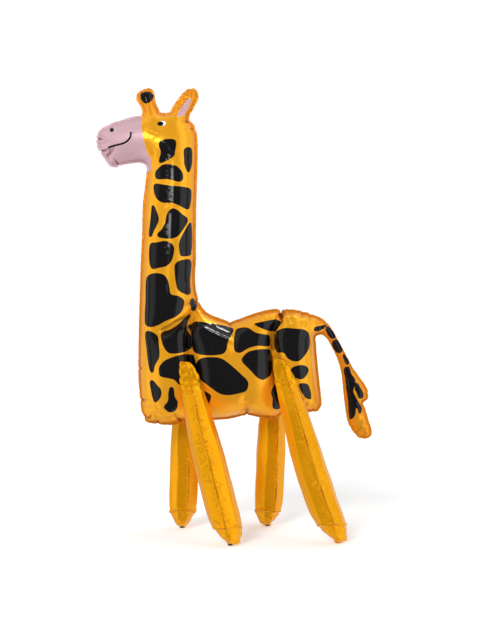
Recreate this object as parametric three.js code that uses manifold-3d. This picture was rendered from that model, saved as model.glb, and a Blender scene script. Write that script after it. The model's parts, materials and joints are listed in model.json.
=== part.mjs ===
// A standing giraffe balloon of printed foil film, filled with air.
// Two sheets of film are sealed together along one outline, which runs round the
// head, horn, ear, neck, trunk and tail, and four tube legs are fixed to its sides.
// Millimetres. X runs from the nose to the tail, Y across the body, Z up from the floor.

import * as THREE from "three";
import { mergeVertices } from "three/addons/utils/BufferGeometryUtils.js";
import Module from "manifold-3d";

const HEIGHT = 1000; // from the floor to the tip of the ear
const SEAM_WIDTH = 7; // the flat sealed edge of the two sheets
const SEAM_THICKNESS = 1;
const FULLNESS = 0.8; // depth of the filled body beside a freely round tube
const TOUCH_GAP = 0.4; // between a leg and the flank that it presses on

const LEG_DIAMETER = 70;
const LEG_TAB_WIDTH = 28; // the sealed end that is fixed to the flank
const LEG_TAB_THICKNESS = 6;
const FOOT_LENGTH = 14; // the small flat tip that stands on the floor
const FOOT_WIDTH = 12;
const WIDE_STANCE = 112; // from the middle of the body to a foot
const NARROW_STANCE = 88;
const LEG_OUTSET = 78; // from the middle of the body to the upper end of a straight leg

const FOIL_YELLOW = 0xf9a41c;
const LEG_YELLOW = 0xf0a010;

const EDGE_STEP = 13; // between points along the outline
const FACE_STEP = 21; // between points on the filled faces
const SHOULDER_STEP = 5; // from the seam to the first row of points inside it
const LEG_SIDES = 14;
const MERGE_DISTANCE = 0.001; // corners closer than this are one
const SWEEPS = 1200; // passes that settle the filled depth
const OVER_RELAXATION = 1.9; // how far past its neighbours' mean a pass moves a point

// The outline and the folds are in thousandths of the height: [along, up].
const OUTLINE = {
  face: [
    [-207, 938], [-228, 935], [-255, 927], [-282, 917], [-301, 904],
    [-308, 889], [-305, 866], [-294, 848], [-282, 830], [-268, 821],
    [-253, 827], [-230, 831], [-210, 833], [-200, 829], [-195, 817],
  ],
  throatToChest: [
    [-195, 817], [-199, 781], [-204, 738], [-206, 671], [-209, 604],
    [-211, 537], [-213, 470], [-214, 409], [-214, 351], [-210, 302],
    [-205, 268], [-195, 252], [-177, 249], [-148, 246], [-125, 248], [-112, 254],
  ],
  belly: [
    [-112, 254], [-76, 254], [-45, 257], [-9, 260], [29, 268],
    [63, 262], [92, 260], [112, 274],
  ],
  rump: [
    [112, 274], [143, 275], [174, 275], [190, 279], [196, 293],
    [194, 320], [189, 365], [185, 409], [183, 443],
  ],
  tailInside: [
    [183, 443], [192, 448], [204, 443], [217, 423], [230, 396], [239, 367],
    [244, 324], [249, 280], [256, 248], [267, 230], [280, 217], [295, 215],
    [308, 223], [308, 236], [301, 257], [295, 280], [289, 295],
  ],
  tailTuft: [
    [289, 295], [298, 302], [301, 312], [298, 328], [282, 352], [265, 376],
  ],
  tailOutside: [
    [265, 376], [251, 403], [233, 436], [217, 464], [199, 483], [181, 492],
    [166, 498], [154, 500], [139, 504], [121, 505], [106, 507],
  ],
  back: [[106, 507], [76, 504], [40, 494], [13, 484], [-9, 477]],
  withers: [[-9, 477], [-31, 485], [-54, 494], [-67, 504], [-77, 520]],
  nape: [
    [-77, 520], [-84, 544], [-87, 575], [-85, 611], [-85, 671], [-84, 738],
    [-82, 805], [-81, 861], [-82, 890], [-87, 913], [-97, 927],
  ],
  ear: [
    [-97, 927], [-97, 943], [-85, 957], [-79, 979], [-83, 994],
    [-94, 1000], [-110, 993], [-125, 976], [-136, 959], [-144, 946],
  ],
  poll: [[-144, 946], [-154, 944], [-164, 946]],
  horn: [
    [-164, 946], [-173, 962], [-177, 978], [-179, 992], [-190, 1000],
    [-206, 995], [-219, 983], [-218, 972], [-209, 959], [-205, 947], [-207, 938],
  ],
};

// Deep folds where the two sheets are drawn together, with the share of the depth they take.
const FOLDS = [
  { line: [[-78, 514], [-92, 488], [-101, 455], [-96, 414], [-90, 365], [-92, 310], [-104, 262]], depth: 0.55 },
  { line: [[106, 502], [91, 470], [86, 440], [91, 400], [97, 336], [109, 282]], depth: 0.55 },
  { line: [[-92, 488], [-125, 474], [-160, 455]], depth: 0.35 },
  { line: [[-9, 470], [0, 445], [3, 420]], depth: 0.2 },
];
const FOLD_REACH = 26; // how far to each side a fold draws the film in
const FOLD_STEP = 15;

// Each leg: where its upper end is fixed on the flank, and where its foot stands.
// side is -1 for the flank towards the viewer when the head points left.
const LEGS = {
  leg_front_near: { top: [-110, 390], foot: -5, side: -1, stance: WIDE_STANCE },
  leg_front_far: { top: [-113, 394], foot: -120, side: 1, stance: NARROW_STANCE },
  leg_rear_near: { top: [103, 396], foot: 226, side: -1, stance: NARROW_STANCE },
  leg_rear_far: { top: [89, 396], foot: 78, side: 1, stance: WIDE_STANCE },
};
// Half width of a leg as a share of its half diameter, from the fixed end (0) to the foot (1).
const LEG_TAPER = [
  [0.05, 0.52], [0.12, 0.66], [0.2, 0.74], [0.3, 0.84], [0.4, 0.92], [0.52, 0.98],
  [0.66, 1], [0.8, 1], [0.87, 0.94], [0.92, 0.8], [0.96, 0.56], [0.985, 0.3],
];
const LEG_STRAIGHT_FROM = 0.3; // above this share of its length a leg bends in to the flank

const unit = HEIGHT / 1000;
const wasm = await Module();
wasm.setup();

const scaled = (points) => points.map(([x, z]) => new THREE.Vector2(x * unit, z * unit));

// Evenly spaced points along a smooth curve through the given ones.
function alongCurve(points, step) {
  const curve = new THREE.CatmullRomCurve3(
    scaled(points).map((p) => new THREE.Vector3(p.x, 0, p.y)), false, "centripetal");
  const pieces = Math.max(2, Math.round(curve.getLength() / step));
  return curve.getSpacedPoints(pieces).map((p) => new THREE.Vector2(p.x, p.z));
}

// The closed outline: stretches that meet at a corner each, counter-clockwise.
function closedOutline() {
  return Object.values(OUTLINE).flatMap((stretch) => alongCurve(stretch, EDGE_STEP).slice(0, -1));
}

// The outline moved inwards, point for point.
function movedInwards(loop, distance) {
  return loop.map((point, i) => {
    const before = loop[(i + loop.length - 1) % loop.length];
    const after = loop[(i + 1) % loop.length];
    const along = after.clone().sub(before).normalize();
    return new THREE.Vector2(point.x - along.y * distance, point.y + along.x * distance);
  });
}

function distanceToSegment(p, a, b) {
  const along = b.clone().sub(a);
  const share = THREE.MathUtils.clamp(p.clone().sub(a).dot(along) / along.lengthSq(), 0, 1);
  return p.distanceTo(a.clone().addScaledVector(along, share));
}

function distanceToLine(p, line) {
  let least = Infinity;
  for (let i = 0; i + 1 < line.length; i++)
    least = Math.min(least, distanceToSegment(p, line[i], line[i + 1]));
  return least;
}

function isInside(p, loop) {
  let inside = false;
  for (let i = 0, j = loop.length - 1; i < loop.length; j = i++) {
    const a = loop[i];
    const b = loop[j];
    if (a.y > p.y !== b.y > p.y && p.x < ((b.x - a.x) * (p.y - a.y)) / (b.y - a.y) + a.x)
      inside = !inside;
  }
  return inside;
}

// Delaunay triangles over the points, kept where they lie inside the loop.
function triangulate(points, loop) {
  const farAway = 20 * HEIGHT;
  const all = [
    ...points,
    new THREE.Vector2(-farAway, -farAway),
    new THREE.Vector2(farAway, -farAway),
    new THREE.Vector2(0, farAway),
  ];
  const circled = (a, b, c) => {
    const [p, q, r] = [all[a], all[b], all[c]];
    const twice = 2 * (p.x * (q.y - r.y) + q.x * (r.y - p.y) + r.x * (p.y - q.y));
    const [pp, qq, rr] = [p.lengthSq(), q.lengthSq(), r.lengthSq()];
    const x = (pp * (q.y - r.y) + qq * (r.y - p.y) + rr * (p.y - q.y)) / twice;
    const y = (pp * (r.x - q.x) + qq * (p.x - r.x) + rr * (q.x - p.x)) / twice;
    return { corners: [a, b, c], x, y, radius2: (p.x - x) ** 2 + (p.y - y) ** 2 };
  };
  let triangles = [circled(points.length, points.length + 1, points.length + 2)];
  points.forEach((point, index) => {
    const edges = new Map();
    const kept = [];
    for (const triangle of triangles) {
      const inCircle = (point.x - triangle.x) ** 2 + (point.y - triangle.y) ** 2 < triangle.radius2;
      if (!inCircle) {
        kept.push(triangle);
        continue;
      }
      const [a, b, c] = triangle.corners;
      for (const [from, to] of [[a, b], [b, c], [c, a]]) {
        if (edges.has(`${to},${from}`)) edges.delete(`${to},${from}`);
        else edges.set(`${from},${to}`, [from, to]);
      }
    }
    triangles = kept;
    for (const [from, to] of edges.values()) triangles.push(circled(from, to, index));
  });
  return triangles
    .map((triangle) => triangle.corners)
    .filter((corners) => {
      if (corners.some((i) => i >= points.length)) return false;
      const centre = new THREE.Vector2();
      for (const i of corners) centre.addScaledVector(points[i], 1 / 3);
      return isInside(centre, loop);
    });
}

// Points on the filled faces: a row just inside the seam, the folds, and an even field between.
function facePoints(seam, folds) {
  const closedSeam = [...seam, seam[0]];
  const leastGap = SHOULDER_STEP * 0.9;
  const shoulder = movedInwards(seam, SHOULDER_STEP)
    .filter((p) => distanceToLine(p, closedSeam) > leastGap);
  const points = [...seam, ...shoulder];
  const isClear = (p, clearance) => isInside(p, seam)
    && distanceToLine(p, closedSeam) > SHOULDER_STEP + clearance;
  for (const fold of folds) points.push(...fold.filter((p) => isClear(p, FOLD_STEP / 2)));
  const box = new THREE.Box2().setFromPoints(seam);
  const row = FACE_STEP * Math.sqrt(3) / 2;
  for (let j = 0; box.min.y + j * row < box.max.y; j++) {
    for (let i = 0; box.min.x + i * FACE_STEP < box.max.x; i++) {
      const shift = j % 2 ? FACE_STEP / 2 : 0;
      const p = new THREE.Vector2(box.min.x + i * FACE_STEP + shift, box.min.y + j * row);
      const offFolds = folds.every((fold) => distanceToLine(p, fold) > FACE_STEP / 2);
      if (offFolds && isClear(p, FACE_STEP / 2)) points.push(p);
    }
  }
  return points;
}

// The outline with a point added in the middle of each stretch of seam that no triangle follows.
function refinedOutline(outline, triangles) {
  const edges = new Set();
  for (const corners of triangles)
    corners.forEach((corner, k) => edges.add(`${corner},${corners[(k + 1) % 3]}`));
  return outline.flatMap((point, i) => {
    const next = (i + 1) % outline.length;
    const followed = edges.has(`${i},${next}`) || edges.has(`${next},${i}`);
    return followed ? [point] : [point, point.clone().lerp(outline[next], 0.5)];
  });
}

// The filled faces as seen from the side: triangles whose border is the seam.
function meshedFace(folds) {
  let outline = closedOutline();
  for (;;) {
    const seam = movedInwards(outline, SEAM_WIDTH);
    const points = facePoints(seam, folds.map((fold) => fold.line));
    const triangles = triangulate(points, seam);
    const refined = refinedOutline(outline, triangles);
    if (refined.length === outline.length) return { outline, seam, points, triangles };
    outline = refined;
  }
}

// How far air pushes each point out: the depth of a film held at the seam, which is a
// half circle across a long tube and flatter on a wide face.
function filledDepth(points, triangles, fixedCount) {
  const links = points.map(() => new Map());
  const area = points.map(() => 0);
  for (const corners of triangles) {
    for (let k = 0; k < 3; k++) {
      const [a, b, c] = [corners[k], corners[(k + 1) % 3], corners[(k + 2) % 3]];
      const toA = points[a].clone().sub(points[c]);
      const toB = points[b].clone().sub(points[c]);
      const twiceArea = Math.abs(toA.cross(toB));
      const weight = toA.dot(toB) / twiceArea / 2;
      links[a].set(b, (links[a].get(b) ?? 0) + weight);
      links[b].set(a, (links[b].get(a) ?? 0) + weight);
      area[c] += twiceArea / 6;
    }
  }
  const lift = points.map(() => 0);
  for (let sweep = 0; sweep < SWEEPS; sweep++) {
    for (let i = fixedCount; i < points.length; i++) {
      let sum = area[i];
      let total = 0;
      for (const [j, weight] of links[i]) {
        sum += weight * lift[j];
        total += weight;
      }
      lift[i] += OVER_RELAXATION * (sum / total - lift[i]);
    }
  }
  return lift.map((value) => Math.sqrt(2 * Math.max(0, value)));
}

function foldShare(point, folds) {
  return folds.reduce((share, { line, depth }) => {
    const away = distanceToLine(point, line);
    return share * (1 - depth * Math.exp(-away / (FOLD_REACH * unit)));
  }, 1);
}

function geometryOf(vertices, triangles) {
  const geometry = new THREE.BufferGeometry();
  geometry.setAttribute("position", new THREE.Float32BufferAttribute(vertices.flat(), 3));
  geometry.setIndex(triangles.flat());
  return geometry;
}

// The film body: two filled faces, back to back, inside one flat sealed edge.
function filmBody() {
  const folds = FOLDS.map(({ line, depth }) => ({ line: alongCurve(line, FOLD_STEP), depth }));
  const { outline, seam, points, triangles } = meshedFace(folds);
  const depths = filledDepth(points, triangles, seam.length);
  const halfSeam = SEAM_THICKNESS / 2;
  const count = outline.length;
  const total = count + points.length;
  const vertices = [];
  for (const side of [-1, 1]) {
    outline.forEach((p) => vertices.push([p.x, side * halfSeam, p.y]));
    points.forEach((p, i) => {
      const depth = halfSeam + FULLNESS * depths[i] * foldShare(p, folds);
      vertices.push([p.x, side * depth, p.y]);
    });
  }
  const faces = [];
  const addBothSides = (a, b, c) => faces.push([a, b, c], [c + total, b + total, a + total]);
  for (let i = 0; i < count; i++) {
    const next = (i + 1) % count;
    addBothSides(i, next, count + next);
    addBothSides(i, count + next, count + i);
    faces.push([i, i + total, next + total], [i, next + total, next]);
  }
  for (const [a, b, c] of triangles) addBothSides(count + a, count + b, count + c);
  return {
    geometry: geometryOf(vertices, faces),
    surface: { points, triangles, depths: points.map((_, i) => -vertices[count + i][1]) },
  };
}

// Depth of the body's face at one place, between the three points around it.
function depthAt({ points, triangles, depths }, place) {
  for (const [a, b, c] of triangles) {
    const area = (p, q, r) => q.clone().sub(p).cross(r.clone().sub(p));
    const whole = area(points[a], points[b], points[c]);
    const shares = [
      area(place, points[b], points[c]) / whole,
      area(points[a], place, points[c]) / whole,
      area(points[a], points[b], place) / whole,
    ];
    if (shares.every((share) => share >= 0))
      return shares[0] * depths[a] + shares[1] * depths[b] + shares[2] * depths[c];
  }
  return SEAM_THICKNESS / 2;
}

// A tube leg: level rings from the tab on the flank down to the flat tip on the floor.
function legGeometry({ top, foot, side, stance }, surface) {
  const [topX, topZ] = [top[0] * unit, top[1] * unit];
  const footX = foot * unit;
  const tabSunk = LEG_TAB_THICKNESS / 4;
  const fixedAt = depthAt(surface, new THREE.Vector2(topX, topZ)) + tabSunk;
  const half = LEG_DIAMETER / 2;
  const lean = 1 / Math.cos(Math.atan2(footX - topX, topZ));
  const stations = [
    [0, LEG_TAB_WIDTH / 2, LEG_TAB_THICKNESS / 2],
    ...LEG_TAPER.map(([share, width]) => {
      const roundness = THREE.MathUtils.smoothstep(share, 0, LEG_STRAIGHT_FROM);
      const depth = THREE.MathUtils.lerp(LEG_TAB_THICKNESS / 2, width * half, roundness);
      return [share, width * half * lean, depth];
    }),
    [1, FOOT_LENGTH / 2, FOOT_WIDTH / 2],
  ];
  const vertices = [];
  for (const [share, halfLength, halfWidth] of stations) {
    const straight = THREE.MathUtils.lerp(LEG_OUTSET, stance, share);
    const bend = THREE.MathUtils.smoothstep(share, 0, LEG_STRAIGHT_FROM);
    const x = THREE.MathUtils.lerp(topX, footX, share);
    const y = side * THREE.MathUtils.lerp(fixedAt, straight, bend);
    const z = topZ * (1 - share);
    for (let k = 0; k < LEG_SIDES; k++) {
      const angle = (2 * Math.PI * (k + 0.5)) / LEG_SIDES;
      vertices.push([x + halfLength * Math.cos(angle), y + halfWidth * Math.sin(angle), z]);
    }
  }
  const rings = stations.length;
  const faces = [];
  for (let r = 0; r + 1 < rings; r++) {
    for (let k = 0; k < LEG_SIDES; k++) {
      const next = (k + 1) % LEG_SIDES;
      const [a, b] = [r * LEG_SIDES + k, r * LEG_SIDES + next];
      const [c, d] = [a + LEG_SIDES, b + LEG_SIDES];
      faces.push([a, c, d], [a, d, b]);
    }
  }
  for (let k = 1; k + 1 < LEG_SIDES; k++) {
    const last = (rings - 1) * LEG_SIDES;
    faces.push([0, k, k + 1], [last, last + k + 1, last + k]);
  }
  return geometryOf(vertices, faces);
}

function solidFrom(geometry) {
  const bare = new THREE.BufferGeometry();
  bare.setAttribute("position", geometry.getAttribute("position"));
  bare.setIndex(geometry.getIndex());
  const merged = mergeVertices(bare, MERGE_DISTANCE);
  return new wasm.Manifold(new wasm.Mesh({
    numProp: 3,
    vertProperties: merged.getAttribute("position").array,
    triVerts: new Uint32Array(merged.getIndex().array),
  }));
}

function geometryFrom(solid) {
  const mesh = solid.getMesh();
  const geometry = new THREE.BufferGeometry();
  const count = mesh.vertProperties.length / mesh.numProp;
  const positions = new Float32Array(count * 3);
  for (let i = 0; i < count; i++)
    positions.set(mesh.vertProperties.subarray(i * mesh.numProp, i * mesh.numProp + 3), i * 3);
  geometry.setAttribute("position", new THREE.BufferAttribute(positions, 3));
  geometry.setIndex(new THREE.BufferAttribute(new Uint32Array(mesh.triVerts), 1));
  return geometry;
}

// The body grown by the touching gap, which a leg's inner side is pressed against.
function grownBody(geometry) {
  const grown = geometry.clone();
  grown.computeVertexNormals();
  const position = grown.getAttribute("position");
  const normal = grown.getAttribute("normal");
  const point = new THREE.Vector3();
  const outwards = new THREE.Vector3();
  for (let i = 0; i < position.count; i++) {
    point.fromBufferAttribute(position, i);
    outwards.fromBufferAttribute(normal, i);
    point.addScaledVector(outwards, TOUCH_GAP);
    position.setXYZ(i, point.x, point.y, point.z);
  }
  return solidFrom(grown);
}

// The largest piece that is left of a leg once the flank has pressed into it.
function pressedLeg(leg, body, surface) {
  const pieces = solidFrom(legGeometry(leg, surface)).subtract(body).decompose();
  return pieces.reduce((largest, piece) => (piece.volume() > largest.volume() ? piece : largest));
}

function named(name, geometry, material) {
  const shaded = geometry.toNonIndexed();
  shaded.computeVertexNormals();
  const mesh = new THREE.Mesh(shaded, material);
  mesh.name = name;
  return mesh;
}

function giraffeBalloon() {
  const group = new THREE.Group();
  group.name = "giraffe_foil_balloon";
  const printedFoil = new THREE.MeshStandardMaterial({
    color: FOIL_YELLOW, roughness: 0.28, metalness: 0.9,
  });
  const plainFoil = new THREE.MeshStandardMaterial({
    color: LEG_YELLOW, roughness: 0.26, metalness: 0.9,
  });
  const { geometry, surface } = filmBody();
  const body = grownBody(geometry);
  group.add(named("body", geometry, printedFoil));
  for (const [name, leg] of Object.entries(LEGS))
    group.add(named(name, geometryFrom(pressedLeg(leg, body, surface)), plainFoil));
  return group;
}

export default giraffeBalloon();
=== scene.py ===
"""A standing giraffe balloon of printed foil film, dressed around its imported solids.

The body is one envelope of two sheets sealed along their outline; four plain tubes are its legs.
Lengths are in millimetres until a mesh is made, and in metres from there on.
"""

import json
import logging
import math
from dataclasses import dataclass, field
from enum import Enum

import bmesh
import bpy
import numpy as np
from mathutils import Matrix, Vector
from mathutils.bvhtree import BVHTree
from mathutils.geometry import delaunay_2d_cdt

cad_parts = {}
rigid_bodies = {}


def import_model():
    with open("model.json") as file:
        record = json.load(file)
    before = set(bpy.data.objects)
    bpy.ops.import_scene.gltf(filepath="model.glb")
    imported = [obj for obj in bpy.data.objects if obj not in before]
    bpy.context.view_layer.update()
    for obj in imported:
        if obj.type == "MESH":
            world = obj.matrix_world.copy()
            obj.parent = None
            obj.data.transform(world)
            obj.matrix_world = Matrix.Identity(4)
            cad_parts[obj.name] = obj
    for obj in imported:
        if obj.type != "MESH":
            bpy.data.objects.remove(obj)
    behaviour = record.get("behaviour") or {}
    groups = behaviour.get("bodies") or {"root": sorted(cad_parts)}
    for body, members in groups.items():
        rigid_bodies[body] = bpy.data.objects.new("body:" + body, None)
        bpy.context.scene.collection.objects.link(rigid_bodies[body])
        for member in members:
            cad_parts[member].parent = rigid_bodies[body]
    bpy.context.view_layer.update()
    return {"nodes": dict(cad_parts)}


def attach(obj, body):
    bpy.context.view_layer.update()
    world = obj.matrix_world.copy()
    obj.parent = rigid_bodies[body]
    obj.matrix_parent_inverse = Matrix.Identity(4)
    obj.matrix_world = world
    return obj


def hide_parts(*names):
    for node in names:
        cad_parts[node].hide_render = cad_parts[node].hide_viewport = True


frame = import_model()

MM = 0.001
# a distance that stands for nowhere near, in millimetres
FAR_AWAY = 99.0
# keeps a division clear of zero
TINY = 1e-9
# names of the numbers that the meshes carry for their finish and for their painted shade
CRINKLE = "crinkle"
RIM_AND_SHADE = "rim"
SEAL_AND_SHADE = "seal_and_shade"
FOLDED = "folded"
log = logging.getLogger("giraffe")


class Side(Enum):
    """The two flanks, by the sign of their Y."""

    NEAR = -1
    FAR = 1


class Ink(Enum):
    """The printed colours, by the name of the mesh attribute that holds each one's distance."""

    BLACK = "ink_black"
    PINK = "ink_pink"
    WHITE = "ink_white"
    LINE = "ink_line"


@dataclass(frozen=True)
class PhotoPlane:
    """Where the photograph's camera stands, and the plane that its sizes are read in.

    The print is placed by what the photograph shows, so a point of a flank that bulges
    towards the camera is looked up where it covers the plane in the middle of the body.
    """

    distance: float = 2540.0
    aim_x: float = 35.8
    aim_z: float = 497.7

    def covered(self, points: np.ndarray) -> np.ndarray:
        """Look up what a point covers in the middle plane.

        Args:
            points: Places as rows of X, Y, Z. Both flanks are read as the near one.

        Returns:
            Rows of X, Z in the middle plane.
        """
        aim = np.array([self.aim_x, self.aim_z])
        grown = self.distance / (self.distance - np.abs(points[:, 1:2]))
        return aim + (points[:, [0, 2]] - aim) * grown


def linear(hex_colour: str) -> tuple[float, float, float, float]:
    """Turn an sRGB hex colour into the linear values that a shader takes.

    Args:
        hex_colour: Six hex digits after a hash.

    Returns:
        Red, green, blue and a full alpha.
    """
    parts = [int(hex_colour[i : i + 2], 16) / 255 for i in (1, 3, 5)]
    low, slope, shift, power = 0.04045, 12.92, 0.055, 2.4
    red, green, blue = (
        c / slope if c <= low else ((c + shift) / (1 + shift)) ** power for c in parts
    )
    return red, green, blue, 1.0


def smoothstep(share: np.ndarray) -> np.ndarray:
    """Ease from 0 to 1 with no corner at either end."""
    t = np.clip(share, 0.0, 1.0)
    return t * t * (3 - 2 * t)


def spline(points: np.ndarray, step: float, closed: bool) -> np.ndarray:
    """Run a smooth curve through points and space it evenly.

    Args:
        points: Rows of X, Z.
        step: The wanted distance between two points of the result.
        closed: Whether the last point joins the first.

    Returns:
        Evenly spaced rows of X, Z; a closed curve doesn't repeat its first point.
    """
    p = np.asarray(points, float)
    if closed:
        p = np.vstack([p[-1:], p, p[:2]])
    else:
        p = np.vstack([2 * p[:1] - p[1:2], p, 2 * p[-1:] - p[-2:-1]])
    per_span = 12
    out = []
    knots = np.linalg.norm(np.diff(p, axis=0), axis=1) ** 0.5
    for i in range(1, len(p) - 2):
        t0, t1, t2, t3 = 0.0, *np.cumsum(knots[i - 1 : i + 2])
        t = np.linspace(t1, t2, per_span, endpoint=False)[:, None]
        a1 = (t1 - t) / (t1 - t0) * p[i - 1] + (t - t0) / (t1 - t0) * p[i]
        a2 = (t2 - t) / (t2 - t1) * p[i] + (t - t1) / (t2 - t1) * p[i + 1]
        a3 = (t3 - t) / (t3 - t2) * p[i + 1] + (t - t2) / (t3 - t2) * p[i + 2]
        b1 = (t2 - t) / (t2 - t0) * a1 + (t - t0) / (t2 - t0) * a2
        b2 = (t3 - t) / (t3 - t1) * a2 + (t - t1) / (t3 - t1) * a3
        out.append((t2 - t) / (t2 - t1) * b1 + (t - t1) / (t2 - t1) * b2)
    dense = np.vstack([*out, p[-2:-1]])
    run = np.concatenate([[0], np.cumsum(np.linalg.norm(np.diff(dense, axis=0), axis=1))])
    count = max(2, round(run[-1] / step))
    at = np.linspace(0, run[-1], count + 1)
    even = np.stack([np.interp(at, run, dense[:, k]) for k in (0, 1)], 1)
    return even[:-1] if closed else even


def to_line(points: np.ndarray, line: np.ndarray) -> tuple[np.ndarray, np.ndarray, np.ndarray]:
    """Measure how far points are from a line of straight stretches.

    Args:
        points: Rows of X, Z.
        line: The line's corners in order.

    Returns:
        Each point's least distance, how far along the line its nearest place is, and 1 or -1
        for the left or the right of the line.
    """
    a, b = line[:-1], line[1:]
    run = np.concatenate([[0], np.cumsum(np.linalg.norm(b - a, axis=1))])
    least = np.full(len(points), np.inf)
    along = np.zeros(len(points))
    hand = np.ones(len(points))
    ab = (b - a)[None]
    square = (ab * ab).sum(2)
    block = 4000
    for start in range(0, len(points), block):
        part = slice(start, start + block)
        ap = points[part, None, :] - a[None]
        share = np.clip((ap * ab).sum(2) / square, 0, 1)
        gap = np.linalg.norm(ap - share[..., None] * ab, axis=2)
        nearest = gap.argmin(1)
        rows = np.arange(len(nearest))
        least[part] = gap[rows, nearest]
        piece = run[nearest + 1] - run[nearest]
        along[part] = run[nearest] + share[rows, nearest] * piece
        turn = ab[0, nearest, 0] * ap[rows, nearest, 1] - ab[0, nearest, 1] * ap[rows, nearest, 0]
        hand[part] = np.where(turn < 0, -1.0, 1.0)
    return least, along, hand


def inside(points: np.ndarray, loop: np.ndarray) -> np.ndarray:
    """Tell which points lie inside a closed loop, given as rows of X, Z."""
    found = np.zeros(len(points), bool)
    x, z = points[:, 0], points[:, 1]
    for (ax, az), (bx, bz) in zip(loop, np.roll(loop, -1, axis=0)):
        if az != bz:
            crosses = (az > z) != (bz > z)
            found ^= crosses & (x < (bx - ax) * (z - az) / (bz - az) + ax)
    return found


def signed_distance(points: np.ndarray, loop: np.ndarray) -> np.ndarray:
    """Measure the distance to a closed loop, less than zero inside it."""
    gap = to_line(points, np.vstack([loop, loop[:1]]))[0]
    return np.where(inside(points, loop), -gap, gap)


def steps(loop: np.ndarray) -> np.ndarray:
    """Measure from each point of a closed loop to the next."""
    return np.linalg.norm(np.roll(loop, -1, axis=0) - loop, axis=1)


def tangents(loop: np.ndarray) -> np.ndarray:
    """Give the way that a closed loop runs at each point, not of unit length."""
    return np.roll(loop, -1, axis=0) - np.roll(loop, 1, axis=0)


def turns(loop: np.ndarray, spread: int) -> np.ndarray:
    """Measure how far a closed loop turns about each of its points.

    Args:
        loop: Rows of X, Z, counter-clockwise.
        spread: Over how many points to each side the turn is measured.

    Returns:
        The turn in radians, more than zero where the loop is convex.
    """
    way = tangents(loop)
    angle = np.unwrap(np.arctan2(way[:, 1], way[:, 0]))
    turn = np.roll(angle, -spread) - np.roll(angle, spread)
    return (turn + np.pi) % (2 * np.pi) - np.pi


def staggered_grid(low: np.ndarray, high: np.ndarray, step: float) -> np.ndarray:
    """Fill a box with points at the corners of even triangles.

    Args:
        low: The box's least X and Z.
        high: Its greatest X and Z.
        step: The side of a triangle.

    Returns:
        Rows of X, Z.
    """
    x = np.arange(low[0], high[0], step)
    z = np.arange(low[1], high[1], step * math.sqrt(3) / 2)
    grid_x, grid_z = np.meshgrid(x, z)
    grid_x = grid_x + (np.arange(len(z)) % 2)[:, None] * step / 2
    return np.stack([grid_x.ravel(), grid_z.ravel()], 1)


def moved_inwards(loop: np.ndarray, distance: np.ndarray | float) -> np.ndarray:
    """Move a counter-clockwise loop inwards, point for point.

    Args:
        loop: Rows of X, Z.
        distance: How far, for all points or for each.

    Returns:
        The moved points in the same order.
    """
    along = tangents(loop)
    along /= np.linalg.norm(along, axis=1, keepdims=True)
    inwards = np.stack([-along[:, 1], along[:, 0]], 1)
    return loop + inwards * np.reshape(distance, (-1, 1))


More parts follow.
